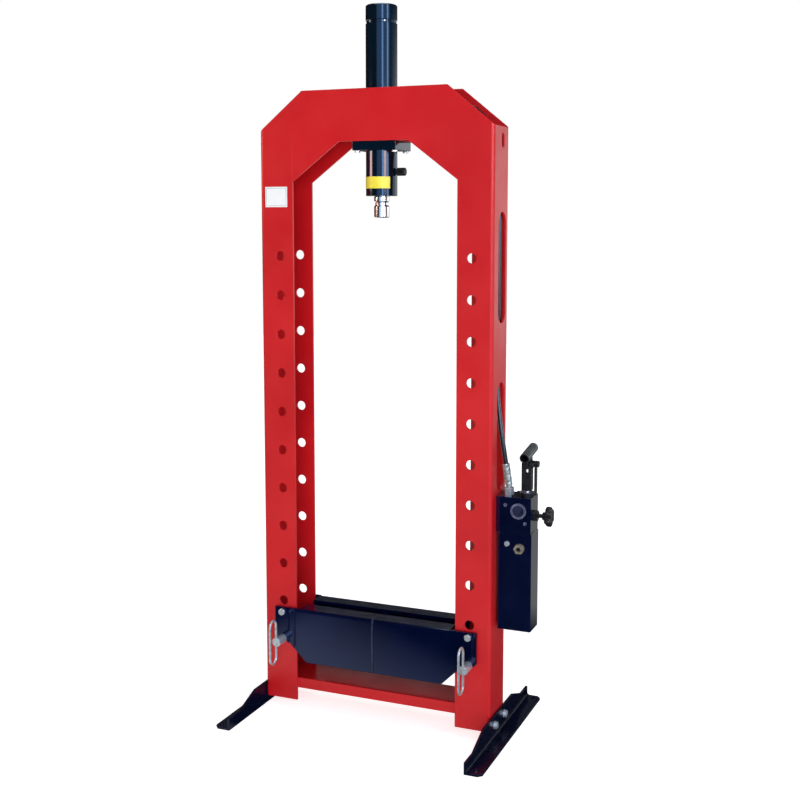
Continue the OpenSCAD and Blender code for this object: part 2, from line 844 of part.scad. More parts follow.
// Welded oil tank, open at the top where the pump head closes it
module pump_tank() {
  color(navy) difference() {
    union() {
      difference() {
        box([tank_x, pump_front, pump_z], [tank_x + tank_w, pump_back, block_low]);
        box([tank_x + tank_wall, pump_front + tank_wall, pump_z + tank_wall],
          [tank_x + tank_w - tank_wall, pump_back - tank_wall, block_low + over]);
      }
      intersection() {
        box([tank_x + eps, pump_front + eps, pump_z], [tank_x + tank_w - eps, pump_back - eps,
          block_low]);
        for (p = tie_spots) rod_z(2 * boss_r, block_low - boss_h, block_low, p[0], p[1]);
      }
    }
    for (p = tie_spots) rod_z(tie_d + 2 * thread_clear, block_low - tie_depth - 2,
      block_low + over, p[0], p[1]);
    rod_y(filler_af * 0.6, pump_front - over, pump_front + tank_wall + over, filler_x, filler_z);
    rod_y(level_d * 0.6, pump_front - over, pump_front + tank_wall + over, level_x, level_z);
  }
}

// Pump head: block that closes the tank and holds the plunger and the valves
module pump_head() {
  color(navy) difference() {
    box([block_x, pump_front, block_low], [block_right, pump_back, block_top]);
    rod_z(plunger_d + 2 * run_clear, plunger_bore_low, block_top + over, axis_x, axis_y);
    for (p = tie_spots) rod_z(tie_d + 2 * thread_clear, block_low - over, block_top + over,
      p[0], p[1]);
    rod_z(port_d, block_top - fitting_h, block_top + over, fitting_x, fitting_y);
    rod_x(stem_d + 2 * run_clear, block_right - release_hole, block_right + over, release_y,
      release_z);
    for (s = [-1, 1]) rod_x(mount_screw_d + 2 * thread_clear, block_x - over,
      block_x + mount_screw_depth + 2, pump_y + s * mount_screw_gap / 2, mount_screw_z);
    for (p = plug_spots) rod_y(plug_d * 0.7, pump_front - over, pump_front + 10, p[0], p[1]);
  }
}

// Screws from inside the upright that hold the pump
module pump_mount_bolts() {
  color(zinc) for (s = [-1, 1])
    translate([web_in, pump_y + s * mount_screw_gap / 2, mount_screw_z]) rotate([0, -90, 0])
      hex_bolt(mount_screw_d, sheet + mount_screw_depth);
}

// Long screws through the pump head into the tank
module pump_tie_bolts() {
  color(black) for (p = tie_spots) translate([p[0], p[1], block_top])
    hex_bolt(tie_d, head_block_h + tie_depth);
}

module plunger_gland() {
  color(black) difference() {
    rod_z(collar_d, block_top, collar_top, axis_x, axis_y);
    rod_z(plunger_d + 2 * run_clear, block_top - over, collar_top + over, axis_x, axis_y);
  }
}

// Round cap over the valves on the pump head's front
module valve_cap() {
  cap_t = 5;
  lip = 2;
  color(navy) difference() {
    rod_y(valve_cap_d, pump_front - cap_t, pump_front, valve_x, valve_z);
    rod_y(valve_cap_d - 4 * lip, pump_front - cap_t - over, pump_front - cap_t + lip, valve_x, valve_z);
  }
}

module head_plugs() {
  stud = 8;
  proud = 2;
  color(zinc) for (p = plug_spots) difference() {
    union() {
      rod_y(plug_d, pump_front - proud, pump_front, p[0], p[1]);
      rod_y(plug_d * 0.7 - 2 * thread_clear, pump_front - eps, pump_front + stud, p[0], p[1]);
    }
    translate([p[0], pump_front - proud - over, p[1]]) rotate([-90, 0, 0]) hexagon(plug_d * 0.45, 3);
  }
}

// Hexagon plug in the tank's filler hole, with a socket in its face
module filler_plug() {
  plug_t = 9;
  flange_t = 2;
  socket_af = 10;
  socket_depth = 5;
  color(zinc) difference() {
    union() {
      rod_y(filler_af * 1.15, pump_front - flange_t, pump_front, filler_x, filler_z);
      translate([filler_x, pump_front - flange_t + eps, filler_z]) rotate([90, 0, 0])
        hexagon(filler_af, plug_t - flange_t);
      rod_y(filler_af * 0.6 - 2 * thread_clear, pump_front - eps, pump_front + tank_wall + 4,
        filler_x, filler_z);
    }
    translate([filler_x, pump_front - plug_t + socket_depth, filler_z]) rotate([90, 0, 0])
      hexagon(socket_af, socket_depth + over);
  }
}

// Slotted screw that shows the oil level
module level_screw() {
  proud = 4;
  slot_h = 1.6;
  slot_depth = 1.5;
  color(zinc) difference() {
    union() {
      rod_y(level_d, pump_front - proud, pump_front, level_x, level_z);
      rod_y(level_d * 0.6 - 2 * thread_clear, pump_front - eps, pump_front + tank_wall + 3,
        level_x, level_z);
    }
    box([level_x - level_d, pump_front - proud - over, level_z - slot_h / 2],
      [level_x + level_d, pump_front - proud + slot_depth, level_z + slot_h / 2]);
  }
}

// Two arms on the pump head that carry the lever's fulcrum
module fulcrum_bracket() {
  base_t = 4;
  base_front = axis_y + collar_d / 2 + 0.5;
  arm_out = arm_in + arm_t;
  color(black) difference() {
    union() {
      for (s = [0, 1]) translate([axis_x, 0, 0]) mirror([s, 0, 0]) {
        box([arm_in, fulcrum_y - arm_r, block_top], [arm_out, fulcrum_y + arm_r, lever_z]);
        rod_x(2 * arm_r, arm_in, arm_out, fulcrum_y, lever_z);
      }
      box([axis_x - arm_in - eps, base_front, block_top],
        [axis_x + arm_in + eps, fulcrum_y + arm_r, block_top + base_t]);
    }
    rod_x(fulcrum_d + 2 * run_clear, axis_x - 2 * arm_in, axis_x + 2 * arm_in, fulcrum_y, lever_z);
  }
}

// Headed pin through the bracket and the lever's hub
module fulcrum_pin() {
  reach = arm_in + arm_t;
  tail = 3;
  head = 6;
  color(black) {
    rod_x(fulcrum_d, axis_x - reach - tail, axis_x + reach + eps, fulcrum_y, lever_z);
    rod_x(fulcrum_d * 1.6, axis_x + reach, axis_x + reach + head, fulcrum_y, lever_z);
  }
}

// Hexagon nut that seals the release valve's stem
module release_gland() {
  nut_af = 24;
  nut_h = 10;
  color(black) translate([block_right, release_y, release_z]) rotate([0, 90, 0]) difference() {
    hexagon(nut_af, nut_h);
    translate([0, 0, -over]) cylinder(d = stem_d + 2 * run_clear, h = nut_h + 2 * over);
  }
}

module piston() {
  seal_z = piston_low + piston_h / 2 - seal_h / 2;
  color(steel) difference() {
    rod_z(bore_d - 2 * run_clear, piston_low, piston_top);
    rod_z(spigot_d + 2 * thread_clear, piston_low - over, piston_low + spigot_len);
    difference() {
      rod_z(bore_d + over, seal_z, seal_z + seal_h);
      rod_z(bore_d - 2 * seal_depth, seal_z - over, seal_z + seal_h + over);
    }
  }
}

module piston_seal() {
  seal_z = piston_low + piston_h / 2 - seal_h / 2;
  color(black) difference() {
    rod_z(bore_d - 2 * run_clear, seal_z, seal_z + seal_h);
    rod_z(bore_d - 2 * seal_depth + 2 * thread_clear, seal_z - over, seal_z + seal_h + over);
  }
}

module ram_rod() {
  color(chrome) {
    rod_z(rod_d, nose_top, piston_low);
    rod_z(spigot_d, piston_low - eps, piston_low + spigot_len - 1);
    rod_z(spigot_d, nose_top - spigot_len + 1, nose_top + eps);
  }
}

// Pressing nose screwed to the rod, with a turned waist
module ram_nose() {
  r = nose_d / 2;
  w = waist_d / 2;
  edge = 2;
  waist_top = nose_top - waist_drop;
  color(chrome) difference() {
    rotate_extrude() polygon([[0, nose_low], [r - edge, nose_low], [r, nose_low + edge],
      [r, waist_top - waist_h - (r - w)], [w, waist_top - waist_h], [w, waist_top],
      [r, waist_top + (r - w)], [r, nose_top], [0, nose_top]]);
    rod_z(spigot_d + 2 * thread_clear, nose_top - spigot_len, nose_top + over);
  }
}

// Extension spring inside the barrel that pulls the ram back up
module return_spring() {
  per_turn = 10;
  r = spring_d / 2;
  end_gap = 0.3;
  low = spring_low + spring_wire / 2 + end_gap;
  rise = spring_high - spring_wire / 2 - end_gap - low;
  n = spring_turns * per_turn;
  color(steel) tube_along([for (i = [0:n]) [r * cos(360 * i / per_turn), r * sin(360 * i / per_turn),
    low + rise * i / n]], spring_wire / 2, 6, [0, 0, 1]);
}

// Front bed plate: ears with saddles, slanted lower corners and a folded top flange
module bed_plate() {
  half = bed_w / 2;
  slant_x = half - ear_w;
  right = [[slant_x - bed_slant_w, bed_low], [slant_x, ear_low], [half - ear_corner, ear_low],
    [half, ear_low + ear_corner], [half, bed_top]];
  left = [for (i = [len(right) - 1:-1:0]) [-right[i][0], right[i][1]]];
  fold_low = bed_top - 2 * bed_t;
  difference() {
    union() {
      difference() {
        plate_xz(concat(right, left), -bed_out, -bed_in);
        box([-bed_fold_x, -bed_out - over, fold_low], [bed_fold_x, -bed_in + over, bed_top + over]);
      }
      bed_fold(fold_low);
    }
    for (s = [-1, 1]) {
      rod_y(saddle_d, -bed_out - over, -bed_in + over, s * hole_x, hole_low);
      box([s * hole_x - saddle_d / 2, -bed_out - over, ear_low - over],
        [s * hole_x + saddle_d / 2, -bed_in + over, hole_low]);
      rod_y(clamp_d + 2 * thread_clear, -bed_out - over, -bed_in + over, s * hole_x, clamp_z);
    }
  }
}

// Folded upper edge of a bed plate, between the uprights
module bed_fold(low) {
  r = bed_t;
  translate([-bed_fold_x, 0, 0]) rotate([90, 0, 90]) linear_extrude(2 * bed_fold_x) difference() {
    union() {
      translate([-bed_out, low - eps]) square([bed_t, bed_top - r - low + eps]);
      translate([-bed_out + r, bed_top - r]) circle(r);
      translate([-bed_out + r - eps, bed_top - r]) square([bed_flange - r + eps, r]);
    }
    translate([-bed_in, low - over]) square([bed_flange, bed_top - bed_t - low + over]);
  }
}

module bed_front_plate() {
  color(navy) {
    bed_plate();
    box([-mark_w / 2, -bed_out - mark_t, bed_low], [mark_w / 2, -bed_out + eps, bed_top - bed_t]);
  }
}

module bed_rear_plate() {
  color(navy) mirror([0, 1, 0]) bed_plate();
}

// Upright rib between the two bed plates, centred at x
module bed_rib(x) {
  box([x - rib_t / 2, -bed_in, bed_low + rib_lift], [x + rib_t / 2, bed_in, bed_top - bed_t]);
}

module bed_centre_rib() {
  color(navy) bed_rib(0);
}

// Ribs at the ends of the folded flanges, cut to the plates' slanted corners
module bed_end_ribs() {
  half = bed_w / 2;
  slant_x = half - ear_w;
  slope = (ear_low - bed_low) / bed_slant_w;
  rib_low = bed_low + max(rib_lift, (rib_end_x + rib_t / 2 - slant_x + bed_slant_w) * slope);
  color(navy) for (s = [-1, 1])
    box([s * rib_end_x - rib_t / 2, -bed_in, rib_low], [s * rib_end_x + rib_t / 2, bed_in,
      bed_top - bed_t]);
}

// Screws through the ears that steady the bed against the uprights
module clamp_bolts() {
  tip_gap = 0.3;
  color(zinc) for (m = [0, 1], s = [-1, 1]) mirror([0, m, 0])
    translate([s * hole_x, -bed_out, clamp_z]) rotate([90, 0, 0])
      hex_bolt(clamp_d, bed_t + bed_gap - tip_gap);
}

// Pull-out pin under one end of the bed, with a wire loop welded to its front end
module bed_pin() {
  front = -bed_out - pin_front;
  r = (loop_w - loop_wire) / 2;
  half_run = (loop_h - loop_wire) / 2 - r;
  mid_y = front - r;
  mid_z = hole_low + loop_rise;
  tip = 2;
  difference() {
    rod_y(pin_d, front, bed_out + pin_rear, hole_x, hole_low);
    translate([hole_x, bed_out + pin_rear + eps, hole_low]) rotate([90, 0, 0]) difference() {
      cylinder(d = pin_d + over, h = tip);
      cylinder(d1 = pin_d - 2 * tip, d2 = pin_d, h = tip);
    }
  }
  for (s = [-1, 1]) {
    rod_z(loop_wire, mid_z - half_run, mid_z + half_run, hole_x, mid_y + s * r);
    translate([hole_x, mid_y, mid_z + s * half_run]) rotate([90, 0, 90])
      rotate([0, 0, s > 0 ? 0 : 180]) rotate_extrude(angle = 180)
        translate([r, 0]) circle(d = loop_wire, $fn = 24);
  }
}

module left_bed_pin() {
  color(zinc) mirror([1, 0, 0]) bed_pin();
}

module right_bed_pin() {
  color(zinc) bed_pin();
}

// Places a child on the socket tube's axis, with +Z pointing to its rear end
module at_socket() {
  translate([axis_x, axis_y + socket_set, socket_z]) rotate([socket_tilt - 90, 0, 0]) children();
}

// Lever: sloping socket tube for the hand bar, with a tongue to the clevis and a hub at the fulcrum
module pump_lever() {
  wall = 4;
  low = lever_z - arm_r;
  front_y = axis_y - arm_r - wall;
  rear_y = fulcrum_y + arm_r - 1;
  slot_r = clevis_pin_d / 2 + slot_play;
  slot_front = axis_y - 5;
  slot_rear = axis_y + 1;
  function tube_z(y) = socket_z + (y - axis_y - socket_set) * tan(socket_tilt);
  color(black) difference() {
    union() {
      at_socket() cylinder(d = socket_d, h = socket_len, center = true);
      plate_yz([[front_y, low], [fulcrum_y, low], [rear_y, lever_z], [rear_y, tube_z(rear_y)],
        [front_y, tube_z(front_y)]], axis_x - tongue_t / 2, axis_x + tongue_t / 2);
      rod_x(2 * arm_r, axis_x - arm_in + tongue_clear, axis_x + arm_in - tongue_clear, fulcrum_y,
        lever_z);
    }
    at_socket() translate([0, 0, -socket_len / 2 - over])
      cylinder(d = socket_bore, h = socket_len - wall + over);
    rod_x(fulcrum_d + 2 * run_clear, axis_x - 2 * arm_in, axis_x + 2 * arm_in, fulcrum_y, lever_z);
    for (y = [slot_front, slot_rear])
      rod_x(2 * slot_r, axis_x - tongue_t, axis_x + tongue_t, y, lever_z);
    box([axis_x - tongue_t, slot_front, lever_z - slot_r],
      [axis_x + tongue_t, slot_rear, lever_z + slot_r]);
  }
}

module pump_plunger() {
  color(chrome) rod_z(plunger_d, plunger_low, clevis_low + plunger_seat, axis_x, axis_y);
}

// Forked block on the plunger's upper end
module plunger_clevis() {
  fork_room = 11;
  fork_low = lever_z - arm_r - fork_room;
  front_y = axis_y - clevis_depth / 2;
  back_y = axis_y + clevis_depth / 2;
  color(black) difference() {
    box([axis_x - clevis_w / 2, front_y, clevis_low], [axis_x + clevis_w / 2, back_y, clevis_top]);
    box([axis_x - fork_gap / 2, front_y - over, fork_low], [axis_x + fork_gap / 2, back_y + over,
      clevis_top + over]);
    rod_z(plunger_d + 2 * run_clear, clevis_low - over, clevis_low + plunger_seat, axis_x, axis_y);
    rod_x(clevis_pin_d + 2 * run_clear, axis_x - clevis_w, axis_x + clevis_w, axis_y, lever_z);
  }
}

module clevis_pin() {
  color(black) {
    rod_x(clevis_pin_d, axis_x - clevis_w / 2, axis_x + clevis_w / 2 + eps, axis_y, lever_z);
    rod_x(clevis_pin_d * 1.5, axis_x + clevis_w / 2, axis_x + clevis_w / 2 + pin_knob, axis_y, lever_z);
  }
}

module release_stem() {
  color(black) rod_x(stem_d, block_right - release_hole + 2, block_right + star_out + star_t / 2,
    release_y, release_z);
}

// Lobed hand knob on the release valve
module release_knob() {
  lobe_r = star_d * 0.14;
  ring_r = star_d / 2 - lobe_r;
  hub_d = stem_d + 10;
  hub_len = 6;
  round = 5;
  r = star_d / 2 + over;
  color(black) translate([block_right + star_out, release_y, release_z]) rotate([0, 90, 0])
    difference() {
      union() {
        intersection() {
          translate([0, 0, hub_len]) linear_extrude(star_t - hub_len) {
            circle(ring_r);
            for (i = [0:star_lobes - 1]) rotate(i * 360 / star_lobes) translate([ring_r, 0])
              circle(lobe_r);
          }
          rotate_extrude() polygon([[0, 0], [r - 2 * round, hub_len], [r, hub_len + round],
            [r, star_t - round], [r - round, star_t], [0, star_t]]);
        }
        cylinder(d = hub_d, h = hub_len + eps);
      }
      translate([0, 0, -over]) cylinder(d = stem_d + 2 * run_clear, h = star_t / 2 + over);
    }
}

left_upright();
right_upright();
head_front_plate();
head_rear_plate();
head_cross_bars();
base_crossbeam();
left_foot();
right_foot();
foot_bolts();
foot_washers();
foot_nuts();
data_plate();
mount_plate();
mount_bolts();
cylinder_barrel();
cylinder_cap();
cap_screws();
rod_gland();
rod_wiper();
barrel_band();
bleed_knob();
cylinder_port();
hydraulic_hose();
upper_ferrule();
lower_ferrule();
pump_port();
pump_tank();
pump_head();
pump_mount_bolts();
pump_tie_bolts();
plunger_gland();
valve_cap();
head_plugs();
filler_plug();
level_screw();
fulcrum_bracket();
fulcrum_pin();
release_gland();
piston();
piston_seal();
ram_rod();
ram_nose();
return_spring();
bed_front_plate();
bed_rear_plate();
bed_centre_rib();
bed_end_ribs();
clamp_bolts();
left_bed_pin();
right_bed_pin();
pump_lever();
pump_plunger();
plunger_clevis();
clevis_pin();
release_stem();
release_knob();
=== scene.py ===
# Shop press: paint, plating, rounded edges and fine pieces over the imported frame. Metres, +Z up.
import json
import math
import bpy
import bmesh
import numpy as np
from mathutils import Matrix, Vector

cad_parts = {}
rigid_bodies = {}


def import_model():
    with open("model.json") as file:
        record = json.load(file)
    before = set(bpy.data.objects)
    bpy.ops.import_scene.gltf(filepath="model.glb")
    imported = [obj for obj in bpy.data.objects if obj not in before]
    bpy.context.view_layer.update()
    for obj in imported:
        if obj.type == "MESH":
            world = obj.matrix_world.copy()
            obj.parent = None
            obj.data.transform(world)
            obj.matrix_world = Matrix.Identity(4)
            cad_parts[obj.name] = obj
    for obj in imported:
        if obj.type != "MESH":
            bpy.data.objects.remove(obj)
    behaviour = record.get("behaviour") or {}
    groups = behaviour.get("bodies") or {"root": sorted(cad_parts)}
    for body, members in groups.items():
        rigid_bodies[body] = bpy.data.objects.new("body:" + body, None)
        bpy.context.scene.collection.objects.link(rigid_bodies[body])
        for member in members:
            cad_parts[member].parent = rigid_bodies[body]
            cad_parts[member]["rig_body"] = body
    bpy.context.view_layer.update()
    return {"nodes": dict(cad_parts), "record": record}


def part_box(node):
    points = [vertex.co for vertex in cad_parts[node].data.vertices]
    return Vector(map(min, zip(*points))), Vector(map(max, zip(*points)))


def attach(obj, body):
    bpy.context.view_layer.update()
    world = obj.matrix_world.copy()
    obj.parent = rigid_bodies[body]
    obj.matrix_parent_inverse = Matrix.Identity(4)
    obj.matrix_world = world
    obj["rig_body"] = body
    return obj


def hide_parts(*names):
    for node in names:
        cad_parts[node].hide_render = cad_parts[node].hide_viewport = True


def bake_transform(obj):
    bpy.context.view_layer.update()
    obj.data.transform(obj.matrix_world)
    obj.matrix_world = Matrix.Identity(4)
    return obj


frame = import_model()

mm = 0.001
slotOf = {part["node"]: part["material_slot"] for part in frame["record"]["subparts"]}
print("frame loaded:", len(frame["nodes"]), "nodes")


def linear(code):
    # sRGB hex to linear: c / 12.92 up to 0.04045, above it ((c + 0.055) / 1.055) to the power 2.4
    c = np.array([int(code[i:i + 2], 16) for i in (1, 3, 5)]) / 255
    c = np.where(c <= 0.04045, c / 12.92, ((c + 0.055) / 1.055) ** 2.4)
    return (*c.tolist(), 1.0)


def addNode(tree, kind, inputs=None, **settings):
    # one node with its settings; each input takes a value or a link from another socket
    node = tree.nodes.new(kind)
    for key, value in settings.items():
        setattr(node, key, value)
    for key, value in (inputs or {}).items():
        if isinstance(value, bpy.types.NodeSocket):
            tree.links.new(value, node.inputs[key])
        else:
            node.inputs[key].default_value = value
    return node


def startMaterial(name, sockets, coords="Object"):
    material = bpy.data.materials.new(name)
    material.use_nodes = True
    tree = material.node_tree
    tree.nodes.clear()
    shader = addNode(tree, "ShaderNodeBsdfPrincipled", sockets)
    addNode(tree, "ShaderNodeOutputMaterial", {"Surface": shader.outputs["BSDF"]})
    return material, tree, shader, addNode(tree, "ShaderNodeTexCoord").outputs[coords]


# A noise keeps near its middle: these ranges of it are stretched to a full mix
spread = {"colour": (0.35, 0.65), "rough": (0.3, 0.7)}
# A wave texture repeats every 2 pi / 20 of its scaled length
waveUnit = 2 * math.pi / 20


def clouded(tree, shader, place, look, size, detail, ends=(0, 1)):
    # a noise of one size, stretched from the two ends to a full mix, blends the look's two colours
    noise = addNode(tree, "ShaderNodeTexNoise", {"Vector": place, "Scale": 1 / size, "Detail": detail})
    share = addNode(tree, "ShaderNodeMapRange", {
        "Value": noise.outputs["Fac"], "From Min": ends[0], "From Max": ends[1]})
    colour = addNode(tree, "ShaderNodeMix", {
        0: share.outputs["Result"], 6: linear(look["deep"]), 7: linear(look["bright"])}, data_type="RGBA")
    tree.links.new(colour.outputs[2], shader.inputs["Base Color"])
    return noise.outputs["Fac"]


def roughened(tree, shader, noise, levels):
    # the noise, stretched, moves the roughness between two levels
    rough = addNode(tree, "ShaderNodeMapRange", {
        "Value": noise, "From Min": spread["rough"][0], "From Max": spread["rough"][1],
        "To Min": levels[0], "To Max": levels[1]})
    tree.links.new(rough.outputs["Result"], shader.inputs["Roughness"])


# Powder coat and enamel: sprayed and baked, so the eye sees one even colour with slow clouds in it,
# soft-edged gloss, and a faint orange peel. Real peel is 2 to 3 mm across; it is drawn at 7 mm to show.
# The cylinder's blue is greener, the tank has a second clear coat and the feet are satin. The lighter,
# duller navy enamel covers the bed's centre mark, where its tone is a painted highlight, and the valve
# cap's middle; the greyer, duller blue enamel covers the valve cap's rim and the head plugs.
paints = {
    "redPowderCoat": {"deep": "#b4121a", "bright": "#c3181e", "rough": (0.30, 0.40), "coat": 0.1,
                      "coatRough": 0.20, "cloud": 320 * mm, "peel": 7 * mm, "bump": 0.05,
                      "gloss": "#ffd2cc"},
    "navyEnamel": {"deep": "#010722", "bright": "#030b2c", "rough": (0.09, 0.14), "coat": 0.3,
                   "coatRough": 0.05, "cloud": 180 * mm, "peel": 7 * mm, "bump": 0.05,
                   "gloss": "#a3bcff"},
    "cylinderEnamel": {"deep": "#010c18", "bright": "#031322", "rough": (0.09, 0.14), "coat": 0.3,
                       "coatRough": 0.05, "cloud": 180 * mm, "peel": 7 * mm, "bump": 0.04,
                       "gloss": "#9ccfff"},
    "tankEnamel": {"deep": "#010722", "bright": "#030b2c", "rough": (0.12, 0.18), "coat": 1.0,
                   "coatRough": 0.08, "cloud": 120 * mm, "peel": 7 * mm, "bump": 0.05,
                   "gloss": "#d8e6ec"},
    "footEnamel": {"deep": "#010620", "bright": "#020924", "rough": (0.24, 0.32), "coat": 0.0,
                   "coatRough": 0.20, "cloud": 120 * mm, "peel": 7 * mm, "bump": 0.05,
                   "gloss": "#c9cfdc"},
    "greyBlueEnamel": {"deep": "#2c2f46", "bright": "#5a5e78", "rough": (0.30, 0.42), "coat": 0.1,
                     "coatRough": 0.20, "cloud": 9 * mm, "peel": 4 * mm, "bump": 0.08,
                     "gloss": "#ffffff"},
    # lighter than the navy: on the bed's centre mark this tone is a painted highlight
    "lightNavyEnamel": {"deep": "#10142c", "bright": "#262b49", "rough": (0.24, 0.36), "coat": 0.1,
                      "coatRough": 0.15, "cloud": 12 * mm, "peel": 4 * mm, "bump": 0.08,
                      "gloss": "#ffffff"},
}


def sprayedPaint(name):
    # a broad noise mixes the two colours, a finer one moves the roughness, the finest lifts the skin
    look = paints[name]
    material, tree, shader, place = startMaterial(name, {
        "IOR": 1.5, "Coat Weight": look["coat"], "Coat Roughness": look["coatRough"],
        "Specular Tint": linear(look["gloss"])})
    clouded(tree, shader, place, look, look["cloud"], 3.0, spread["colour"])
    haze = addNode(tree, "ShaderNodeTexNoise", {
        "Vector": place, "Scale": 4 / look["cloud"], "Detail": 4.0})
    roughened(tree, shader, haze.outputs["Fac"], look["rough"])
    peel = addNode(tree, "ShaderNodeTexNoise", {
        "Vector": place, "Scale": 1 / look["peel"], "Detail": 1.0})
    skin = addNode(tree, "ShaderNodeBump", {
        "Height": peel.outputs["Fac"], "Strength": look["bump"], "Distance": 1 * mm})
    tree.links.new(skin.outputs["Normal"], shader.inputs["Normal"])
    tree.links.new(skin.outputs["Normal"], shader.inputs["Coat Normal"])
    return material


# Metals: plated or turned. Zinc is bright with a cloudy spangle, duller on crimped sleeves and
# yellowed on the filler plug. Chrome is ground and polished with rings round it. Turned steel has
# tool rings 0.2 mm apart that are drawn 1.5 mm apart to show. Black oxide is a dark satin skin that
# handling wears to grey.
metals = {
    "zincPlate": {"deep": "#bccbd2", "bright": "#f0f7fa", "rough": (0.28, 0.42), "metallic": 0.75,
                  "grain": 9 * mm, "rings": 0.0, "bump": 0.03},
    "zincSleeve": {"deep": "#8f9a95", "bright": "#c6cfc9", "rough": (0.36, 0.50), "metallic": 0.7,
                   "grain": 6 * mm, "rings": 0.0, "bump": 0.03},
    "yellowZinc": {"deep": "#7d7668", "bright": "#b6ae99", "rough": (0.30, 0.45), "metallic": 0.6,
                   "grain": 7 * mm, "rings": 0.0, "bump": 0.03},
    "turnedSteel": {"deep": "#a4a9ae", "bright": "#cdd1d5", "rough": (0.26, 0.40), "metallic": 0.9,
                    "grain": 12 * mm, "rings": 1.5 * mm, "bump": 0.10},
    "hardChrome": {"deep": "#d2d6da", "bright": "#f2f4f5", "rough": (0.12, 0.20), "metallic": 1.0,
                   "grain": 40 * mm, "rings": 3 * mm, "bump": 0.008},
    "greyOxide": {"deep": "#484d4e", "bright": "#6b7171", "rough": (0.38, 0.52), "metallic": 0.35,
                  "grain": 14 * mm, "rings": 0.0, "bump": 0.05},
    "blackOxide": {"deep": "#15161a", "bright": "#26282d", "rough": (0.32, 0.46), "metallic": 0.35,
                   "grain": 10 * mm, "rings": 0.0, "bump": 0.05},
}


def platedMetal(name):
    # a noise of the grain's size mixes the two tones and the roughness; rings are bands along Z
    look = metals[name]
    material, tree, shader, place = startMaterial(name, {"Metallic": look["metallic"]})
    height = clouded(tree, shader, place, look, look["grain"], 4.0, spread["colour"])
    roughened(tree, shader, height, look["rough"][::-1])
    if look["rings"]:
        height = addNode(tree, "ShaderNodeTexWave", {
            "Vector": place, "Scale": waveUnit / look["rings"], "Distortion": 0.4, "Detail": 1.0},
            bands_direction="Z").outputs["Fac"]
    skin = addNode(tree, "ShaderNodeBump", {
        "Height": height, "Strength": look["bump"], "Distance": 0.5 * mm})
    tree.links.new(skin.outputs["Normal"], shader.inputs["Normal"])
    return material


# Moulded plastic and rubber: matt, with the mould's spark-eroded grain of about 0.3 mm, drawn at
# 1.5 mm to show, and a bloom that greys it unevenly.
mouldings = {
    "mouldedNylon": {"deep": "#0e0f11", "bright": "#1c1d20", "rough": 0.42, "grain": 1.5 * mm,
                     "bloom": 25 * mm, "bump": 0.12},
    "sealRubber": {"deep": "#0b0b0c", "bright": "#161617", "rough": 0.62, "grain": 2.0 * mm,
                   "bloom": 25 * mm, "bump": 0.08},
}


def moulded(name):
    # fine noise for the grain's height, broad noise for the bloom
    look = mouldings[name]
    material, tree, shader, place = startMaterial(name, {"IOR": 1.5, "Roughness": look["rough"]})
    clouded(tree, shader, place, look, look["bloom"], 3.0)
    grain = addNode(tree, "ShaderNodeTexNoise", {
        "Vector": place, "Scale": 1 / look["grain"], "Detail": 2.0})
    skin = addNode(tree, "ShaderNodeBump", {
        "Height": grain.outputs["Fac"], "Strength": look["bump"], "Distance": 0.5 * mm})
    tree.links.new(skin.outputs["Normal"], shader.inputs["Normal"])
    return material


# Hose cover: synthetic rubber cured in a wrapped cloth, which leaves its weave pressed in. The real
# print is about 1 mm; it is drawn at 3 mm along the hose and 1/12 of a turn round it.
hoseCover = {"deep": "#0c0d0f", "bright": "#1a1b1e", "rough": 0.26, "coat": 0.8, "coatRough": 0.14,
             "pitch": 3 * mm, "round": 12, "bump": 0.25}


def wrappedRubber(name):
    # two waves along the UV map's diagonals cross to a weave; U is metres along, V is turns round
    material, tree, shader, uv = startMaterial(name, {
        "IOR": 1.5, "Roughness": hoseCover["rough"], "Coat Weight": hoseCover["coat"],
        "Coat Roughness": hoseCover["coatRough"]}, "UV")
    height = None
    for lean in (1, -1):
        slanted = addNode(tree, "ShaderNodeMapping", {
            "Vector": uv, "Scale": (1 / hoseCover["pitch"], lean * hoseCover["round"], 1)})
        wave = addNode(tree, "ShaderNodeTexWave", {
            "Vector": slanted.outputs["Vector"], "Scale": waveUnit},
            bands_direction="DIAGONAL").outputs["Fac"]
        height = wave if height is None else addNode(
            tree, "ShaderNodeMath", {0: height, 1: wave}, operation="MULTIPLY").outputs[0]
    colour = addNode(tree, "ShaderNodeMix", {
        0: height, 6: linear(hoseCover["deep"]), 7: linear(hoseCover["bright"])}, data_type="RGBA")
    skin = addNode(tree, "ShaderNodeBump", {
        "Height": height, "Strength": hoseCover["bump"], "Distance": 0.3 * mm})
    tree.links.new(colour.outputs[2], shader.inputs["Base Color"])
    tree.links.new(skin.outputs["Normal"], shader.inputs["Normal"])
    return material


# Vinyl film and enamelled plate: thin, smooth and even. The plate has one printed line round it.
film = {"deep": "#dccb2f", "bright": "#efe04a", "rough": 0.38, "cloud": 30 * mm}
plate = {"paper": "#e9ecec", "shade": "#dde1e2", "line": "#8f979c", "margin": 3.5 * mm,
         "width": 0.9 * mm, "rough": 0.35, "cloud": 20 * mm}


def vinylFilm(name):
    material, tree, shader, place = startMaterial(name, {"IOR": 1.5, "Roughness": film["rough"]})
    clouded(tree, shader, place, film, film["cloud"], 2.0)
    return material


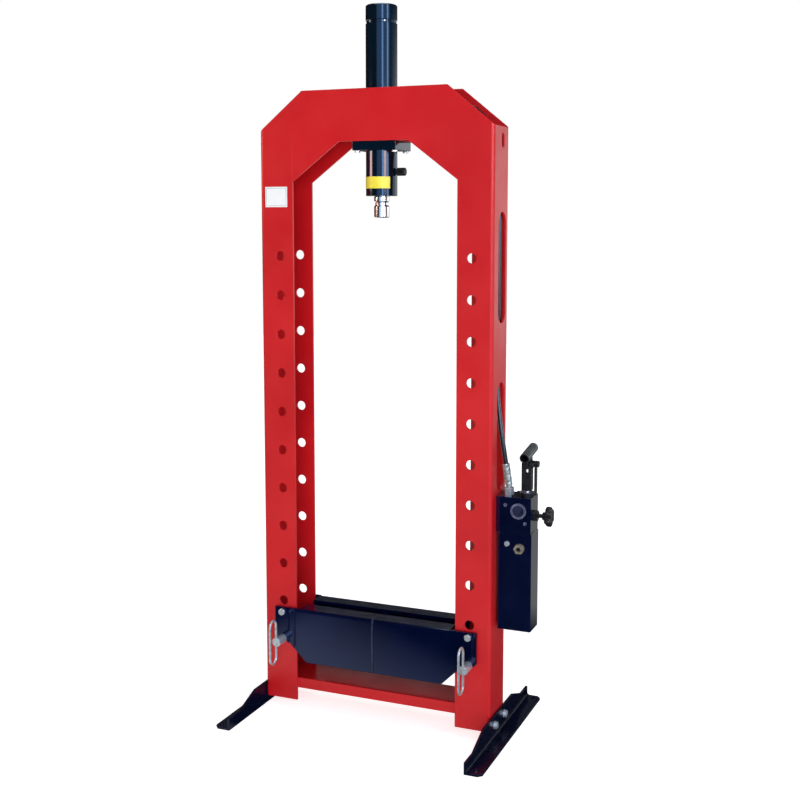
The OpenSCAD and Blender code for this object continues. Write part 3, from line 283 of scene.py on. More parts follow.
def enamelPlate(name):
    # a point's depth inside the plate's edge is the smaller of its two distances from the sides;
    # the line is where that depth equals the margin
    material, tree, shader, place = startMaterial(name, {"IOR": 1.5, "Roughness": plate["rough"]})
    low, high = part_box("data_plate")
    centre, half = (low + high) / 2, (high - low) / 2
    axes = addNode(tree, "ShaderNodeSeparateXYZ", {0: place}).outputs
    depths = []
    for k in (0, 2):
        off = addNode(tree, "ShaderNodeMath", {0: axes[k], 1: centre[k]}, operation="SUBTRACT")
        away = addNode(tree, "ShaderNodeMath", {0: off.outputs[0]}, operation="ABSOLUTE")
        depths.append(addNode(tree, "ShaderNodeMath", {0: half[k], 1: away.outputs[0]},
                              operation="SUBTRACT").outputs[0])
    depth = addNode(tree, "ShaderNodeMath", {0: depths[0], 1: depths[1]}, operation="MINIMUM")
    line = addNode(tree, "ShaderNodeMath", {
        0: depth.outputs[0], 1: plate["margin"], 2: plate["width"] / 2}, operation="COMPARE")
    cloud = addNode(tree, "ShaderNodeTexNoise", {"Vector": place, "Scale": 1 / plate["cloud"]})
    ground = addNode(tree, "ShaderNodeMix", {
        0: cloud.outputs["Fac"], 6: linear(plate["paper"]), 7: linear(plate["shade"])}, data_type="RGBA")
    colour = addNode(tree, "ShaderNodeMix", {
        0: line.outputs[0], 6: ground.outputs[2], 7: linear(plate["line"])}, data_type="RGBA")
    tree.links.new(colour.outputs[2], shader.inputs["Base Color"])
    return material


# The finish of each slot, then the ones that some pieces have instead
finishes = {
    "red_paint": sprayedPaint("redPowderCoat"), "navy_paint": sprayedPaint("navyEnamel"),
    "zinc_plate": platedMetal("zincPlate"), "machined_steel": platedMetal("turnedSteel"),
    "hard_chrome": platedMetal("hardChrome"), "black_steel": platedMetal("blackOxide"),
    "black_plastic": moulded("mouldedNylon"), "seal_rubber": moulded("sealRubber"),
    "hose_rubber": wrappedRubber("wrappedRubber"), "yellow_film": vinylFilm("vinylFilm"),
    "plate_white": enamelPlate("enamelPlate"),
}
others = {name: sprayedPaint(name) for name in (
    "greyBlueEnamel", "lightNavyEnamel", "tankEnamel", "cylinderEnamel", "footEnamel")}
others.update({name: platedMetal(name) for name in ("zincSleeve", "greyOxide", "yellowZinc")})
ownFinish = {"filler_plug": "yellowZinc", "head_plugs": "greyBlueEnamel", "pump_tank": "tankEnamel",
             "pump_head": "tankEnamel", "mount_plate": "cylinderEnamel",
             "cylinder_barrel": "cylinderEnamel", "cylinder_cap": "cylinderEnamel",
             "left_foot": "footEnamel", "right_foot": "footEnamel"}
print("finishes made:", len(finishes) + len(others))


def finishPiece(name, mesh, slot, body, nodes=(), material=None):
    # an object at the origin that rides on a body and stands for CAD nodes; material names another
    # finish than the slot's
    mesh.materials.clear()
    mesh.materials.append(others[material] if material else finishes[slot])
    piece = bpy.data.objects.new(name, mesh)
    bpy.context.scene.collection.objects.link(piece)
    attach(piece, body)
    if nodes:
        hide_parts(*nodes)
    return piece


def readAll(items, what, width, kind=float):
    # a row of numbers for each item
    values = np.empty(len(items) * width, kind)
    items.foreach_get(what, values)
    return values.reshape(-1, width)


def refinish(piece, material, choose):
    # the faces that choose picks from their centres and normals take a second material
    faces = piece.data.polygons
    chosen = choose(readAll(faces, "center", 3), readAll(faces, "normal", 3))
    piece.data.materials.append(material)
    faces.foreach_set("material_index", chosen.astype(np.int32))


# Edge radius of each node in millimetres: 0 leaves its edges as they are
edgeRadius = {
    "left_upright": 0.9, "right_upright": 0.9, "head_front_plate": 0.9, "head_rear_plate": 0.9,
    "head_cross_bars": 1.0, "base_crossbeam": 1.2, "left_foot": 1.2, "right_foot": 1.2,
    "mount_plate": 1.5, "cylinder_barrel": 0.8, "cylinder_cap": 0.8, "pump_tank": 2.0,
    "pump_head": 1.2, "bed_front_plate": 1.0, "bed_rear_plate": 1.0, "bed_centre_rib": 0.8,
    "bed_end_ribs": 0.8, "filler_plug": 0.6, "level_screw": 0.4,
    "head_plugs": 0.3, "plunger_gland": 0.8, "fulcrum_bracket": 0.8, "fulcrum_pin": 0.8,
    "release_gland": 0.6, "pump_port": 0.7, "cylinder_port": 0.7, "foot_washers": 0.3,
    "foot_nuts": 0.6, "data_plate": 0.2, "barrel_band": 0, "cap_screws": 0.2, "rod_gland": 0.4,
    "rod_wiper": 0.5, "piston": 0.6, "piston_seal": 0.5, "ram_rod": 0.5, "ram_nose": 0.6,
    "left_bed_pin": 0.5, "right_bed_pin": 0.5, "pump_lever": 0.8, "pump_plunger": 0.5,
    "plunger_clevis": 1.2, "clevis_pin": 0.6, "release_stem": 0.5,
}
# Edges that stay unrounded: where the head plates meet the uprights the weld is ground flush, and
# the bed's folded flanges end in a plain cut. Distance from the middle, then lowest and highest.
plainEdges = {"upright": (220, 1374, 1577), "head": (220, 1374, 1577), "bed": (208, 250, 273)}
# Metres within which points are one, degrees below which faces are one flat and above which an edge
# is rounded, the rounding's steps, the flats' weight in shading, and the millimetres by which an
# edge's end may miss a plain cut sideways and below
edgeLook = {"merge": 2e-6, "flat": 0.6, "sharp": 30, "steps": 2, "flatWeight": 90, "aside": 0.05,
            "below": 0.1}


def plainCut(name, points, pairs):
    # both ends of the edge lie on the cut's plane and between its two heights
    for word, (x, low, high) in plainEdges.items():
        if word in name:
            on = (np.abs(np.abs(points[:, 0]) - x * mm) < edgeLook["aside"] * mm) \
                & (points[:, 2] > (low - edgeLook["below"]) * mm) & (points[:, 2] < high * mm)
            return on[pairs[:, 0]] & on[pairs[:, 1]]
    return np.zeros(len(pairs), bool)


def dressNode(name, radius):
    # a merged copy of the node whose flat faces are joined up; sharp edges get a bevel weight, and
    # the bevel rounds them
    mesh = frame["nodes"][name].data.copy()
    shape = bmesh.new()
    shape.from_mesh(mesh)
    bmesh.ops.remove_doubles(shape, verts=shape.verts, dist=edgeLook["merge"])
    bmesh.ops.dissolve_limit(shape, angle_limit=math.radians(edgeLook["flat"]), verts=shape.verts,
                             edges=shape.edges)
    if name.endswith("upright"):
        # a cut level with the weld's lower end, so that only the edge below it is rounded
        everything = shape.verts[:] + shape.edges[:] + shape.faces[:]
        bmesh.ops.bisect_plane(shape, geom=everything, dist=1e-6,
                               plane_co=(0, 0, plainEdges["upright"][1] * mm),
                               plane_no=(0, 0, 1))
    shape.to_mesh(mesh)
    shape.free()
    pairs = readAll(mesh.edges, "vertices", 2, int)
    normals = readAll(mesh.polygons, "normal", 3)
    corners = readAll(mesh.polygons, "loop_total", 1, int)[:, 0]
    loopEdge = readAll(mesh.loops, "edge_index", 1, int)[:, 0]
    # the two faces at an edge are the two loops that name it; their normals give the edge's angle
    order = np.argsort(loopEdge, kind="stable")
    faceOf = np.repeat(np.arange(len(corners)), corners)[order]
    first = np.searchsorted(loopEdge[order], np.arange(len(pairs)))
    last = np.searchsorted(loopEdge[order], np.arange(len(pairs)), side="right") - 1
    cosine = (normals[faceOf[first]] * normals[faceOf[last]]).sum(1)
    sharp = cosine < math.cos(math.radians(edgeLook["sharp"]))
    seam = plainCut(name, readAll(mesh.vertices, "co", 3), pairs)
    weights = mesh.attributes.new("bevel_weight_edge", "FLOAT", "EDGE")
    weights.data.foreach_set("value", (sharp & ~seam).astype(np.float32))
    hard = mesh.attributes.get("sharp_edge") or mesh.attributes.new("sharp_edge", "BOOLEAN", "EDGE")
    hard.data.foreach_set("value", seam & sharp if radius else sharp)
    mesh.polygons.foreach_set("use_smooth", np.ones(len(corners), bool))
    mesh.update()
    piece = finishPiece(name + "Skin", mesh, slotOf[name], frame["nodes"][name]["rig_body"], [name],
                        ownFinish.get(name))
    if radius:
        bevel = piece.modifiers.new("edges", "BEVEL")
        bevel.limit_method = "WEIGHT"
        bevel.width = radius * mm
        bevel.segments = edgeLook["steps"]
        bevel.use_clamp_overlap = False
        bevel.miter_outer = "MITER_ARC"
        flats = piece.modifiers.new("flats", "WEIGHTED_NORMAL")
        flats.keep_sharp = True
        flats.weight = edgeLook["flatWeight"]
    return piece


skins = {name: dressNode(name, radius) for name, radius in edgeRadius.items()}
# the gland's faced top, where normals point up, is left bright
refinish(skins["plunger_gland"], finishes["machined_steel"], lambda centre, normal: normal[:, 2] > 0.9)
# the filler plug's socket, radius and depth in millimetres, is painted black as shade in the recess
plugSocket = {"radius": 6, "from": 0.5, "to": 5.5}
plugLow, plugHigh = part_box("filler_plug")
plugMiddle = (plugLow + plugHigh) / 2


def shadedSocket(centre, normal):
    # near the plug's axis and behind its front face
    off = np.hypot(centre[:, 0] - plugMiddle[0], centre[:, 2] - plugMiddle[2])
    deep = centre[:, 1] - plugLow[1]
    return (off < plugSocket["radius"] * mm) & (deep > plugSocket["from"] * mm) \
        & (deep < plugSocket["to"] * mm)


# the socket's faces take black oxide: painted shade inside the recess
refinish(skins["filler_plug"], finishes["black_steel"], shadedSocket)
# the lever's socket tube is worn grey outside: a point of its axis, its rise in degrees, its radius
# and how far a face may lie off it
leverTube = {"spot": (381, 22, 713.5), "rise": 10, "radius": 12, "off": 0.4}


def onTube(centre, normal):
    # as far from the tube's axis as its radius, measured across the axis
    rise = math.radians(leverTube["rise"])
    along = np.array([0, math.cos(rise), math.sin(rise)])
    off = centre - np.array(leverTube["spot"]) * mm
    across = np.linalg.norm(off - (off @ along)[:, None] * along, axis=1)
    return np.abs(across - leverTube["radius"] * mm) < leverTube["off"] * mm


refinish(skins["pump_lever"], others["greyOxide"], onTube)
# the bed's centre mark stands proud of the front plate and lies close to the middle; its faces take the
# lighter navy enamel as a painted highlight along the ridge
markHighlightZone = {"half": 2.7, "front": -66.2}
refinish(skins["bed_front_plate"], others["lightNavyEnamel"], lambda centre, normal: (
    np.abs(centre[:, 0]) < markHighlightZone["half"] * mm) & (centre[:, 1] < markHighlightZone["front"] * mm))
print("nodes dressed:", len(skins))


def ringCells(rows, columns):
    # the row and column of each quad, and its corners: the last column meets the first
    i, j = np.meshgrid(np.arange(rows - 1), np.arange(columns), indexing="ij")
    k = (j + 1) % columns
    cells = np.stack([i * columns + j, i * columns + k, (i + 1) * columns + k, (i + 1) * columns + j], -1)
    return i, j, cells.reshape(-1, 4)


def faceOutward(mesh, sharpest):
    # points in one place are merged, faces look outward, and shading is smooth up to an angle
    shape = bmesh.new()
    shape.from_mesh(mesh)
    bmesh.ops.remove_doubles(shape, verts=shape.verts, dist=1e-6)
    bmesh.ops.recalc_face_normals(shape, faces=shape.faces)
    shape.to_mesh(mesh)
    shape.free()
    mesh.polygons.foreach_set("use_smooth", np.ones(len(mesh.polygons), bool))
    mesh.set_sharp_from_angle(angle=math.radians(sharpest))
    mesh.update()


def closedSurface(name, grids, sharpest=35):
    # each grid is rows by columns of points: columns wrap round, and the end rows meet in a point
    points, cells, start = [], [], 0
    for grid in grids:
        points.append(grid.reshape(-1, 3))
        cells.append(ringCells(*grid.shape[:2])[2] + start)
        start += len(points[-1])
    mesh = bpy.data.meshes.new(name)
    mesh.from_pydata(np.concatenate(points).tolist(), [], np.concatenate(cells).tolist())
    faceOutward(mesh, sharpest)
    return mesh


def onceRound(columns):
    return np.linspace(0, 2 * np.pi, columns, endpoint=False)


def aboutZ(radius, height):
    # radius for each row and column, height for each row
    angles = onceRound(radius.shape[1])
    return np.stack([radius * np.cos(angles), radius * np.sin(angles),
                     np.repeat(np.array(height)[:, None], len(angles), 1)], -1)


def turned(profile, columns, shape):
    # rows of (radius, height) turned about Z; shape gives a factor for each row and angle
    radius, height = np.array(profile, float).T
    return aboutZ(radius[:, None] * shape(onceRound(columns)), height)


def placed(grid, spot, along, side):
    # local Z goes along one direction and local X to one side; the third axis is their cross product
    along, side = np.array(along, float), np.array(side, float)
    basis = np.stack([side, np.cross(along, side), along])
    return grid @ basis + np.array(spot, float)


def alongPath(path, ring, reference):
    # at each point of the path the ring lies across the path's direction: its first axis is the
    # cross product with the reference, its second the cross product of direction and first
    path = np.array(path, float)
    ahead = np.gradient(path, axis=0)
    ahead /= np.linalg.norm(ahead, axis=1, keepdims=True)
    first = np.cross(ahead, np.array(reference, float))
    first /= np.linalg.norm(first, axis=1, keepdims=True)
    second = np.cross(ahead, first)
    ring = np.broadcast_to(ring, (len(path),) + ring.shape[-2:])
    return path[:, None] + ring[..., :1] * first[:, None] + ring[..., 1:] * second[:, None]


def circle(radius, columns):
    angles = onceRound(columns)
    return np.stack([np.cos(angles), np.sin(angles)], -1) * radius


def pointedRings(ring, rows):
    # the same ring on each row, with the first and last drawn in to a point
    rings = np.broadcast_to(ring, (rows, *ring.shape)).copy()
    rings[[0, -1]] *= 0
    return rings


# Hexagon bolts: thread and length in millimetres, and where each head sits. The foot bolts' heads
# stand on washers, 2 mm out from the foot.
boltSets = {
    "foot_bolts": {"thread": 10, "length": 23.5, "slot": "zinc_plate", "body": "frame",
                   "spots": [(s * 320, t * 38, 36) for s in (-1, 1) for t in (-1, 1)],
                   "along": lambda spot: (np.sign(spot[0]), 0, 0), "side": (0, 0, 1)},
    "mount_bolts": {"thread": 8, "length": 38, "slot": "zinc_plate", "body": "frame",
                    "spots": [(s * 50, t * 35, 1449) for s in (-1, 1) for t in (-1, 1)],
                    "along": lambda spot: (0, 0, -1), "side": (1, 0, 0)},
    "clamp_bolts": {"thread": 10, "length": 8.7, "slot": "zinc_plate", "body": "bed",
                    "spots": [(s * 257, t * 66, 260) for s in (-1, 1) for t in (-1, 1)],
                    "along": lambda spot: (0, np.sign(spot[1]), 0), "side": (1, 0, 0)},
    "pump_tie_bolts": {"thread": 6, "length": 106, "slot": "black_steel", "body": "frame",
                       "spots": [(354, -13, 610), (324, 33, 610), (354, 33, 610)],
                       "along": lambda spot: (0, 0, 1), "side": (1, 0, 0)},
    "pump_mount_bolts": {"thread": 10, "length": 26, "slot": "zinc_plate", "body": "frame",
                         "spots": [(306, y, 566) for y in (-2, 22)],
                         "along": lambda spot: (-1, 0, 0), "side": (0, 0, 1)},
}
# Flats and height as shares of the thread, the round faces below and on top as shares of the flats,
# the lowest edge's height as one, and the upper levels as shares of the height
boltHead = {"flats": 1.6, "high": 0.65, "below": 0.98, "top": 0.95, "edge": 0.04,
            "levels": (0.7, 0.8, 0.87, 0.94, 1), "sides": 36}
# Pitch and depth in millimetres, turns drawn, the pointed end's length and step, and the plain neck
boltThread = {"pitch": 1.4, "depth": 0.45, "turns": 9, "point": 0.8, "step": 0.9, "neck": 0.5}


def hexBolt(thread, length):
    # the head is a hexagon, half the flats over the cosine of the angle from the nearest flat's
    # middle, held inside a 30 degree cone at its top; the shank ends in rings for the thread
    flats, high = boltHead["flats"] * thread, boltHead["high"] * thread
    angles = onceRound(boltHead["sides"])
    hexagon = flats / 2 / np.cos((angles + np.pi / 6) % (np.pi / 3) - np.pi / 6)
    levels = np.array([0, boltHead["edge"] * flats, *(share * high for share in boltHead["levels"])])
    cone = boltHead["top"] * flats / 2 + (high - levels) * math.sqrt(3)
    head = np.minimum(hexagon, cone[:, None])
    head[0] = np.minimum(hexagon, boltHead["below"] * flats / 2)
    rings = np.arange(2 * boltThread["turns"] + 1)
    threadZ = -length + boltThread["point"] + rings * boltThread["pitch"] / 2
    threadZ = threadZ[threadZ < -boltThread["neck"]]
    threadR = thread / 2 - boltThread["depth"] * (np.arange(len(threadZ)) % 2)
    shankR = np.concatenate([[0, thread / 2 - boltThread["step"]], threadR, [thread / 2]])
    shankZ = np.concatenate([[-length, -length], threadZ, [0]])
    radius = np.concatenate([np.repeat(shankR[:, None], len(angles), 1), head, 0 * head[:1]])
    return aboutZ(radius, np.concatenate([shankZ, levels, [high]])) * mm


for nodeName, bolts in boltSets.items():
    one = hexBolt(bolts["thread"], bolts["length"])
    grids = [placed(one, np.array(spot) * mm, bolts["along"](spot), bolts["side"])
             for spot in bolts["spots"]]
    finishPiece(nodeName + "Turned", closedSurface(nodeName + "Turned", grids, 25), bolts["slot"],
                bolts["body"], [nodeName])
print("bolts made:", len(boltSets))

# Hydraulic hose, millimetres, the same route as the solid: its ends follow the two ferrules and run
# straight out of them before the route begins
hose = {"radius": 6, "sides": 24, "steps": 12, "lean": 9, "lead": 20, "approach": (60, 6, -8),
        "start": (326.93, 8, 685.29), "end": (127, 0, 1576),
        "route": [(316, 9, 752), (308, 13, 800), (301, 18, 850), (298, 24, 910), (298, 28, 980),
                  (298, 28, 1080), (298, 28, 1180), (298, 28, 1280), (298, 28, 1370),
                  (296, 27, 1430), (284, 25, 1484), (258, 21, 1526), (226, 15, 1552)]}


def smoothRoute(stops, steps):
    # Catmull-Rom: each stretch is a cubic through its two stops that heads along their neighbours
    stops = np.array(stops, float)
    n = len(stops) - 1
    u = np.linspace(0, n, n * steps + 1)
    i = np.minimum(u.astype(int), n - 1)
    t = (u - i)[:, None]
    a, b, c, d = stops[np.maximum(i - 1, 0)], stops[i], stops[i + 1], stops[np.minimum(i + 2, n)]
    return 0.5 * (2 * b + (c - a) * t + (2 * a - 5 * b + 4 * c - d) * t ** 2
                  + (3 * b - a - 3 * c + d) * t ** 3)


leanRad = math.radians(hose["lean"])
leanWay = np.array([-math.sin(leanRad), 0, math.cos(leanRad)])
hoseStart, hoseEnd = np.array(hose["start"], float), np.array(hose["end"], float)
hosePath = smoothRoute([hoseStart, hoseStart + hose["lead"] * leanWay, *hose["route"],
                        hoseEnd + hose["approach"], hoseEnd + (hose["lead"], 0, 0), hoseEnd],
                       hose["steps"])
hoseGrid = alongPath(hosePath * mm, circle(hose["radius"] * mm, hose["sides"]), (0, 1, 0))


def hoseMesh(name):
    # quads between neighbouring rings, closed by one face at each end; U is the length so far in
    # metres and V the share of a turn
    rows, columns = hoseGrid.shape[:2]
    i, j, cells = ringCells(rows, columns)
    ends = [list(range(columns - 1, -1, -1)), list(range((rows - 1) * columns, rows * columns))]
    mesh = bpy.data.meshes.new(name)
    mesh.from_pydata(hoseGrid.reshape(-1, 3).tolist(), [], cells.tolist() + ends)
    run = np.concatenate([[0], np.cumsum(np.linalg.norm(np.diff(hosePath * mm, axis=0), axis=1))])
    u = np.stack([run[i], run[i], run[i + 1], run[i + 1]], -1)
    v = np.stack([j, j + 1, j + 1, j], -1) / columns
    flat = np.concatenate([np.stack([u, v], -1).reshape(-1), np.zeros(4 * columns)])
    mesh.uv_layers.new(name="UVMap").data.foreach_set("uv", flat)
    faceOutward(mesh, 50)
    return mesh


finishPiece("pressureHose", hoseMesh("pressureHose"), "hose_rubber", "frame", ["hydraulic_hose"])

# Crimped ferrules: a sleeve with three rows of eight die marks, on a plain neck. Millimetres; bite is
# the dies' mean depth and its swing, and the two edges are eased by the step and rounding of each.
ferrule = {"radius": 9, "length": 58, "neck": 7, "crimp": 1.1, "marks": 8, "bands": 3, "bite": (0.7, 0.3),
           "lowEdge": (0.8, 0.3), "topEdge": (0.9, 0.4), "sides": 64, "rows": 61}


def crimpedSleeve(neck):
    # along the sleeve the crimp is the upper half of a sine in each band; round it the dies bite
    # deepest at each mark
    length, sides = ferrule["length"], ferrule["sides"]
    z = np.linspace(neck, length, ferrule["rows"])
    share = (z - neck) / (length - neck)
    bands = np.clip(np.sin(share * ferrule["bands"] * np.pi * 2 - np.pi / 2), 0, 1)
    bite = ferrule["bite"][0] + ferrule["bite"][1] * np.cos(ferrule["marks"] * onceRound(sides))
    sleeve = ferrule["radius"] - ferrule["crimp"] * bands[:, None] * bite
    sleeve[0] -= ferrule["lowEdge"][1]
    sleeve[-1] -= ferrule["topEdge"][1]
    low = np.array([[0, -0.01], [ferrule["neck"], 0], [ferrule["neck"], neck],
                    [ferrule["radius"] - ferrule["lowEdge"][0], neck]])
    top = np.array([[ferrule["radius"] - ferrule["topEdge"][0], length], [hose["radius"], length],
                    [0, length]])
    radius = np.concatenate([np.repeat(low[:, :1], sides, 1), sleeve, np.repeat(top[:, :1], sides, 1)])
    return aboutZ(radius, np.concatenate([low[:, 1], z, top[:, 1]])) * mm


# Each ferrule's neck length, place, direction and side
sleeves = {"upper_ferrule": (3, (69, 0, 1576), (1, 0, 0), (0, 0, 1)),
           "lower_ferrule": (5, (336, 8, 628), leanWay, (0, 1, 0))}
for nodeName, (neck, spot, along, side) in sleeves.items():
    grid = placed(crimpedSleeve(neck), np.array(spot) * mm, along, side)
    finishPiece(nodeName + "Crimped", closedSurface(nodeName, [grid], 40), "zinc_plate", "frame",
                [nodeName], "zincSleeve")
print("hose and ferrules made")

# Return spring inside the barrel, hung between the cap and the piston
spring = {"radius": 21, "wire": 2.5, "turns": 10, "low": 1562.8, "high": 1741.2, "sides": 10,
          "perTurn": 24}
coil = np.linspace(0, 2 * np.pi * spring["turns"], spring["turns"] * spring["perTurn"] + 1)
coilPath = np.stack([spring["radius"] * np.cos(coil), spring["radius"] * np.sin(coil),
                     np.linspace(spring["low"], spring["high"], len(coil))], -1)
wire = pointedRings(circle(spring["wire"], spring["sides"]), len(coil))
coilMesh = closedSurface("returnSpringCoil", [alongPath(coilPath, wire, (0, 0, 1)) * mm])
coilMesh.materials.append(finishes["machined_steel"])
coilPiece = bpy.data.objects.new("returnSpringCoil", coilMesh)
bpy.context.scene.collection.objects.link(coilPiece)
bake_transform(coilPiece)
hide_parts("return_spring")

# Release knob: six lobes, the radius rises from valley to lobe as a rounded cosine. Each row is the
# hub's radius, the height, and the share of the way out to the star's edge.
starKnob = {"spot": (422, 8, 563), "valley": 17.5, "lobe": 25, "count": 6, "hub": 10, "round": 0.8,
            "columns": 96}
starRows = [(0.0, 0.0, 0), (9.4, 0.0, 0), (10.0, 0.6, 0), (10.0, 5.2, 0), (10.0, 6.0, 0.18),
            (10.0, 6.6, 0.55), (10.0, 8.0, 0.80), (10.0, 10.5, 0.95), (10.0, 13.0, 1.0),
            (10.0, 18.5, 1.0), (10.0, 20.8, 0.95), (10.0, 22.6, 0.84), (10.0, 23.7, 0.62),
            (10.0, 24.0, 0.35), (8.0, 24.0, 0), (7.4, 23.2, 0), (0.0, 23.2, 0)]


def starGrid():
    # radius is the hub's plus a share of the way out to the star's edge; X is the knob's axis
    angles = onceRound(starKnob["columns"])
    wave = (0.5 + 0.5 * np.cos(starKnob["count"] * angles)) ** starKnob["round"]
    edge = starKnob["valley"] + (starKnob["lobe"] - starKnob["valley"]) * wave
    base, height, share = np.array(starRows, float).T
    grid = aboutZ(base[:, None] + share[:, None] * (edge - starKnob["hub"]), height)
    return placed(grid * mm, np.array(starKnob["spot"]) * mm, (1, 0, 0), (0, 0, 1))


finishPiece("releaseStarKnob", closedSurface("releaseStarKnob", [starGrid()], 50), "black_plastic",
            "release", ["release_knob"])

# Bleed knob: a drum ribbed between two heights, on a threaded neck. Rows of radius and height.
drum = {"spot": (31, 0, 1397), "ribs": 36, "perRib": 6, "depth": 0.07, "ribbed": (12.3, 31.6)}
drumRows = [(0, 0), (5.4, 0), (5.9, 0.5), (5.9, 11), (8.6, 11), (9.6, 12), (10, 12.6), (10, 16),
            (10, 20), (10, 24), (10, 28), (10, 31.4), (9.6, 32.2), (8.6, 33), (5, 33), (4.6, 32.4),
            (0, 32.4)]


def knurl(angles):
    # the drum's side dips between ribs as a cosine; rows off the side stay round
    height = np.array(drumRows, float)[:, 1]
    side = ((height > drum["ribbed"][0]) & (height < drum["ribbed"][1]))[:, None]
    return 1 - side * drum["depth"] * (0.5 - 0.5 * np.cos(drum["ribs"] * angles))


drumGrid = placed(turned(drumRows, drum["ribs"] * drum["perRib"], knurl) * mm,
                  np.array(drum["spot"]) * mm, (1, 0, 0), (0, 0, 1))
finishPiece("bleedDrum", closedSurface("bleedDrum", [drumGrid], 45), "black_plastic", "frame",
            ["bleed_knob"])

# Valve cap on the pump head: a toothed rim in a greyer, lighter enamel round a dished darker middle. Rows
# of radius and height; the rim starts at one radius and its face is the highest.
valveCap = {"spot": (369, -22, 577), "teeth": 20, "perTooth": 6, "dip": 0.05, "cut": 1.6, "rim": 19,
            "face": 5, "middle": 13.8}
capRows = [(0, 0), (19.6, 0), (20, 0.4), (20, 1.2), (20, 2.2), (20, 3.2), (20, 4.2), (19.2, 5),
           (17, 5), (14.6, 5), (14, 4.4), (13.6, 3.2), (12.5, 3), (6, 3.2), (5.6, 3.8), (0, 3.9)]


def toothed(angles):
    # the rim's side dips between teeth as a cosine; rows off the rim stay round
    rim = (np.array(capRows, float)[:, 0] > valveCap["rim"])[:, None]
    return 1 - rim * valveCap["dip"] * (0.5 - 0.5 * np.cos(valveCap["teeth"] * angles))


capColumns = valveCap["teeth"] * valveCap["perTooth"]
capGrid = turned(capRows, capColumns, toothed)
# the rim's face is cut down between teeth by the same cosine
toothGap = 0.5 - 0.5 * np.cos(valveCap["teeth"] * onceRound(capColumns))
capGrid[..., 2] -= (capGrid[..., 2] == valveCap["face"]) * valveCap["cut"] * toothGap
capSpot = np.array(valveCap["spot"]) * mm
capMesh = closedSurface("valveCapFluted", [placed(capGrid * mm, capSpot, (0, -1, 0), (1, 0, 0))], 45)
capPiece = finishPiece("valveCapFluted", capMesh, "navy_paint", "frame", ["valve_cap"], "greyBlueEnamel")
refinish(capPiece, others["lightNavyEnamel"], lambda centre, normal: np.hypot(
    centre[:, 0] - capSpot[0], centre[:, 2] - capSpot[2]) < valveCap["middle"] * mm)
print("spring and knobs made")

# Weld beads, millimetres: start, end and radius of each run
beads = {
    "crossbeamWelds": {"slot": "red_paint", "body": "frame", "radius": 2.6,
                       "runs": [((s * 220, t * 51, 54), (s * 220, t * 51, 82))
                                for s in (-1, 1) for t in (-1, 1)]},
    "headBarWelds": {"slot": "red_paint", "body": "frame", "radius": 2.4,
                     "runs": [((x, t * 51, 1473), (x, t * 51, 1494))
                              for x in (-62, -40, 40, 62) for t in (-1, 1)]},
    "bedRibWelds": {"slot": "navy_paint", "body": "bed", "radius": 2.6,
                    "runs": [((x, t * 58, low), (x, t * 58, 262))
                             for x, low in ((-208, 160), (-200, 160), (-4, 137), (4, 137),
                                            (200, 160), (208, 160)) for t in (-1, 1)]},
}
for hand, pinX in (("left", -257), ("right", 257)):
    beads[hand + "LoopWelds"] = {"slot": "zinc_plate", "body": hand + "_pin", "radius": 2.2,
                                 "runs": [((pinX + s * 2.6, -102.2, 180), (pinX + s * 2.6, -102.2, 196))
                                          for s in (-1, 1)]}
# A bead's stitches: their length, the share of the radius that they dip, the distance between rings,
# the length of its rounded ends, and the ring's sides
stitch = {"length": 3.5, "dip": 0.14, "step": 0.7, "ends": 1.5, "sides": 10, "fewest": 12}


def weldBead(start, end, radius):
    # the radius ripples with each stitch as a sine without its sign, and closes to a point
    start, end = np.array(start, float), np.array(end, float)
    length = np.linalg.norm(end - start)
    s = np.linspace(0, 1, max(int(length / stitch["step"]), stitch["fewest"]))
    ripple = 1 - stitch["dip"] * (1 - np.abs(np.sin(np.pi * s * length / stitch["length"])))
    swell = radius * ripple * np.clip(np.minimum(s, 1 - s) * length / stitch["ends"], 0, 1) ** 0.5
    ring = circle(1.0, stitch["sides"])[None] * swell[:, None, None]
    return alongPath(start + (end - start) * s[:, None], ring, (0, 1, 0)) * mm


for weldName, weld in beads.items():
    grids = [weldBead(*run, weld["radius"]) for run in weld["runs"]]
    finishPiece(weldName, closedSurface(weldName, grids, 60), weld["slot"], weld["body"])

# Rolled root of the feet's angle section: a hollow quarter circle along the inner corner, sunk into
# it a little and a little short of the foot's ends
footRoot = {"x": 318, "z": 6, "radius": 5, "half": 249.5, "sunk": 1, "columns": 8}


def rootGrid(side):
    # across it: out along the floor leg, up the hollow arc, and back down inside the corner
    bend = np.linspace(0, np.pi / 2, footRoot["columns"])
    r, sunk = footRoot["radius"], footRoot["sunk"]
    across = np.concatenate([r * (1 - np.sin(bend)), [-sunk, -sunk]])
    up = np.concatenate([r * (1 - np.cos(bend)), [r, -sunk]])
    y = np.array([-1, -1, 1, 1]) * footRoot["half"]
    grid = np.stack(np.broadcast_arrays(side * (footRoot["x"] + across), y[:, None],
                                        footRoot["z"] + up), -1).astype(float)
    grid[[0, -1]] = grid[[0, -1]].mean(1, keepdims=True)
    return grid * mm


for side, nodeName in ((-1, "left_foot"), (1, "right_foot")):
    finishPiece(nodeName + "Root", closedSurface(nodeName + "Root", [rootGrid(side)], 40),
                "navy_paint", "frame", (), "footEnamel")

# Centre mark of the bed, carried from the front plate over the fold to the flange's edge, in the lighter
# navy enamel as a painted highlight along the ridge
centreMark = {"half": 2.5, "high": 1.5, "out": 66, "low": 255, "top": 272, "fold": 8, "inner": 19.4,
              "sides": 16, "rows": (8, 16, 14)}


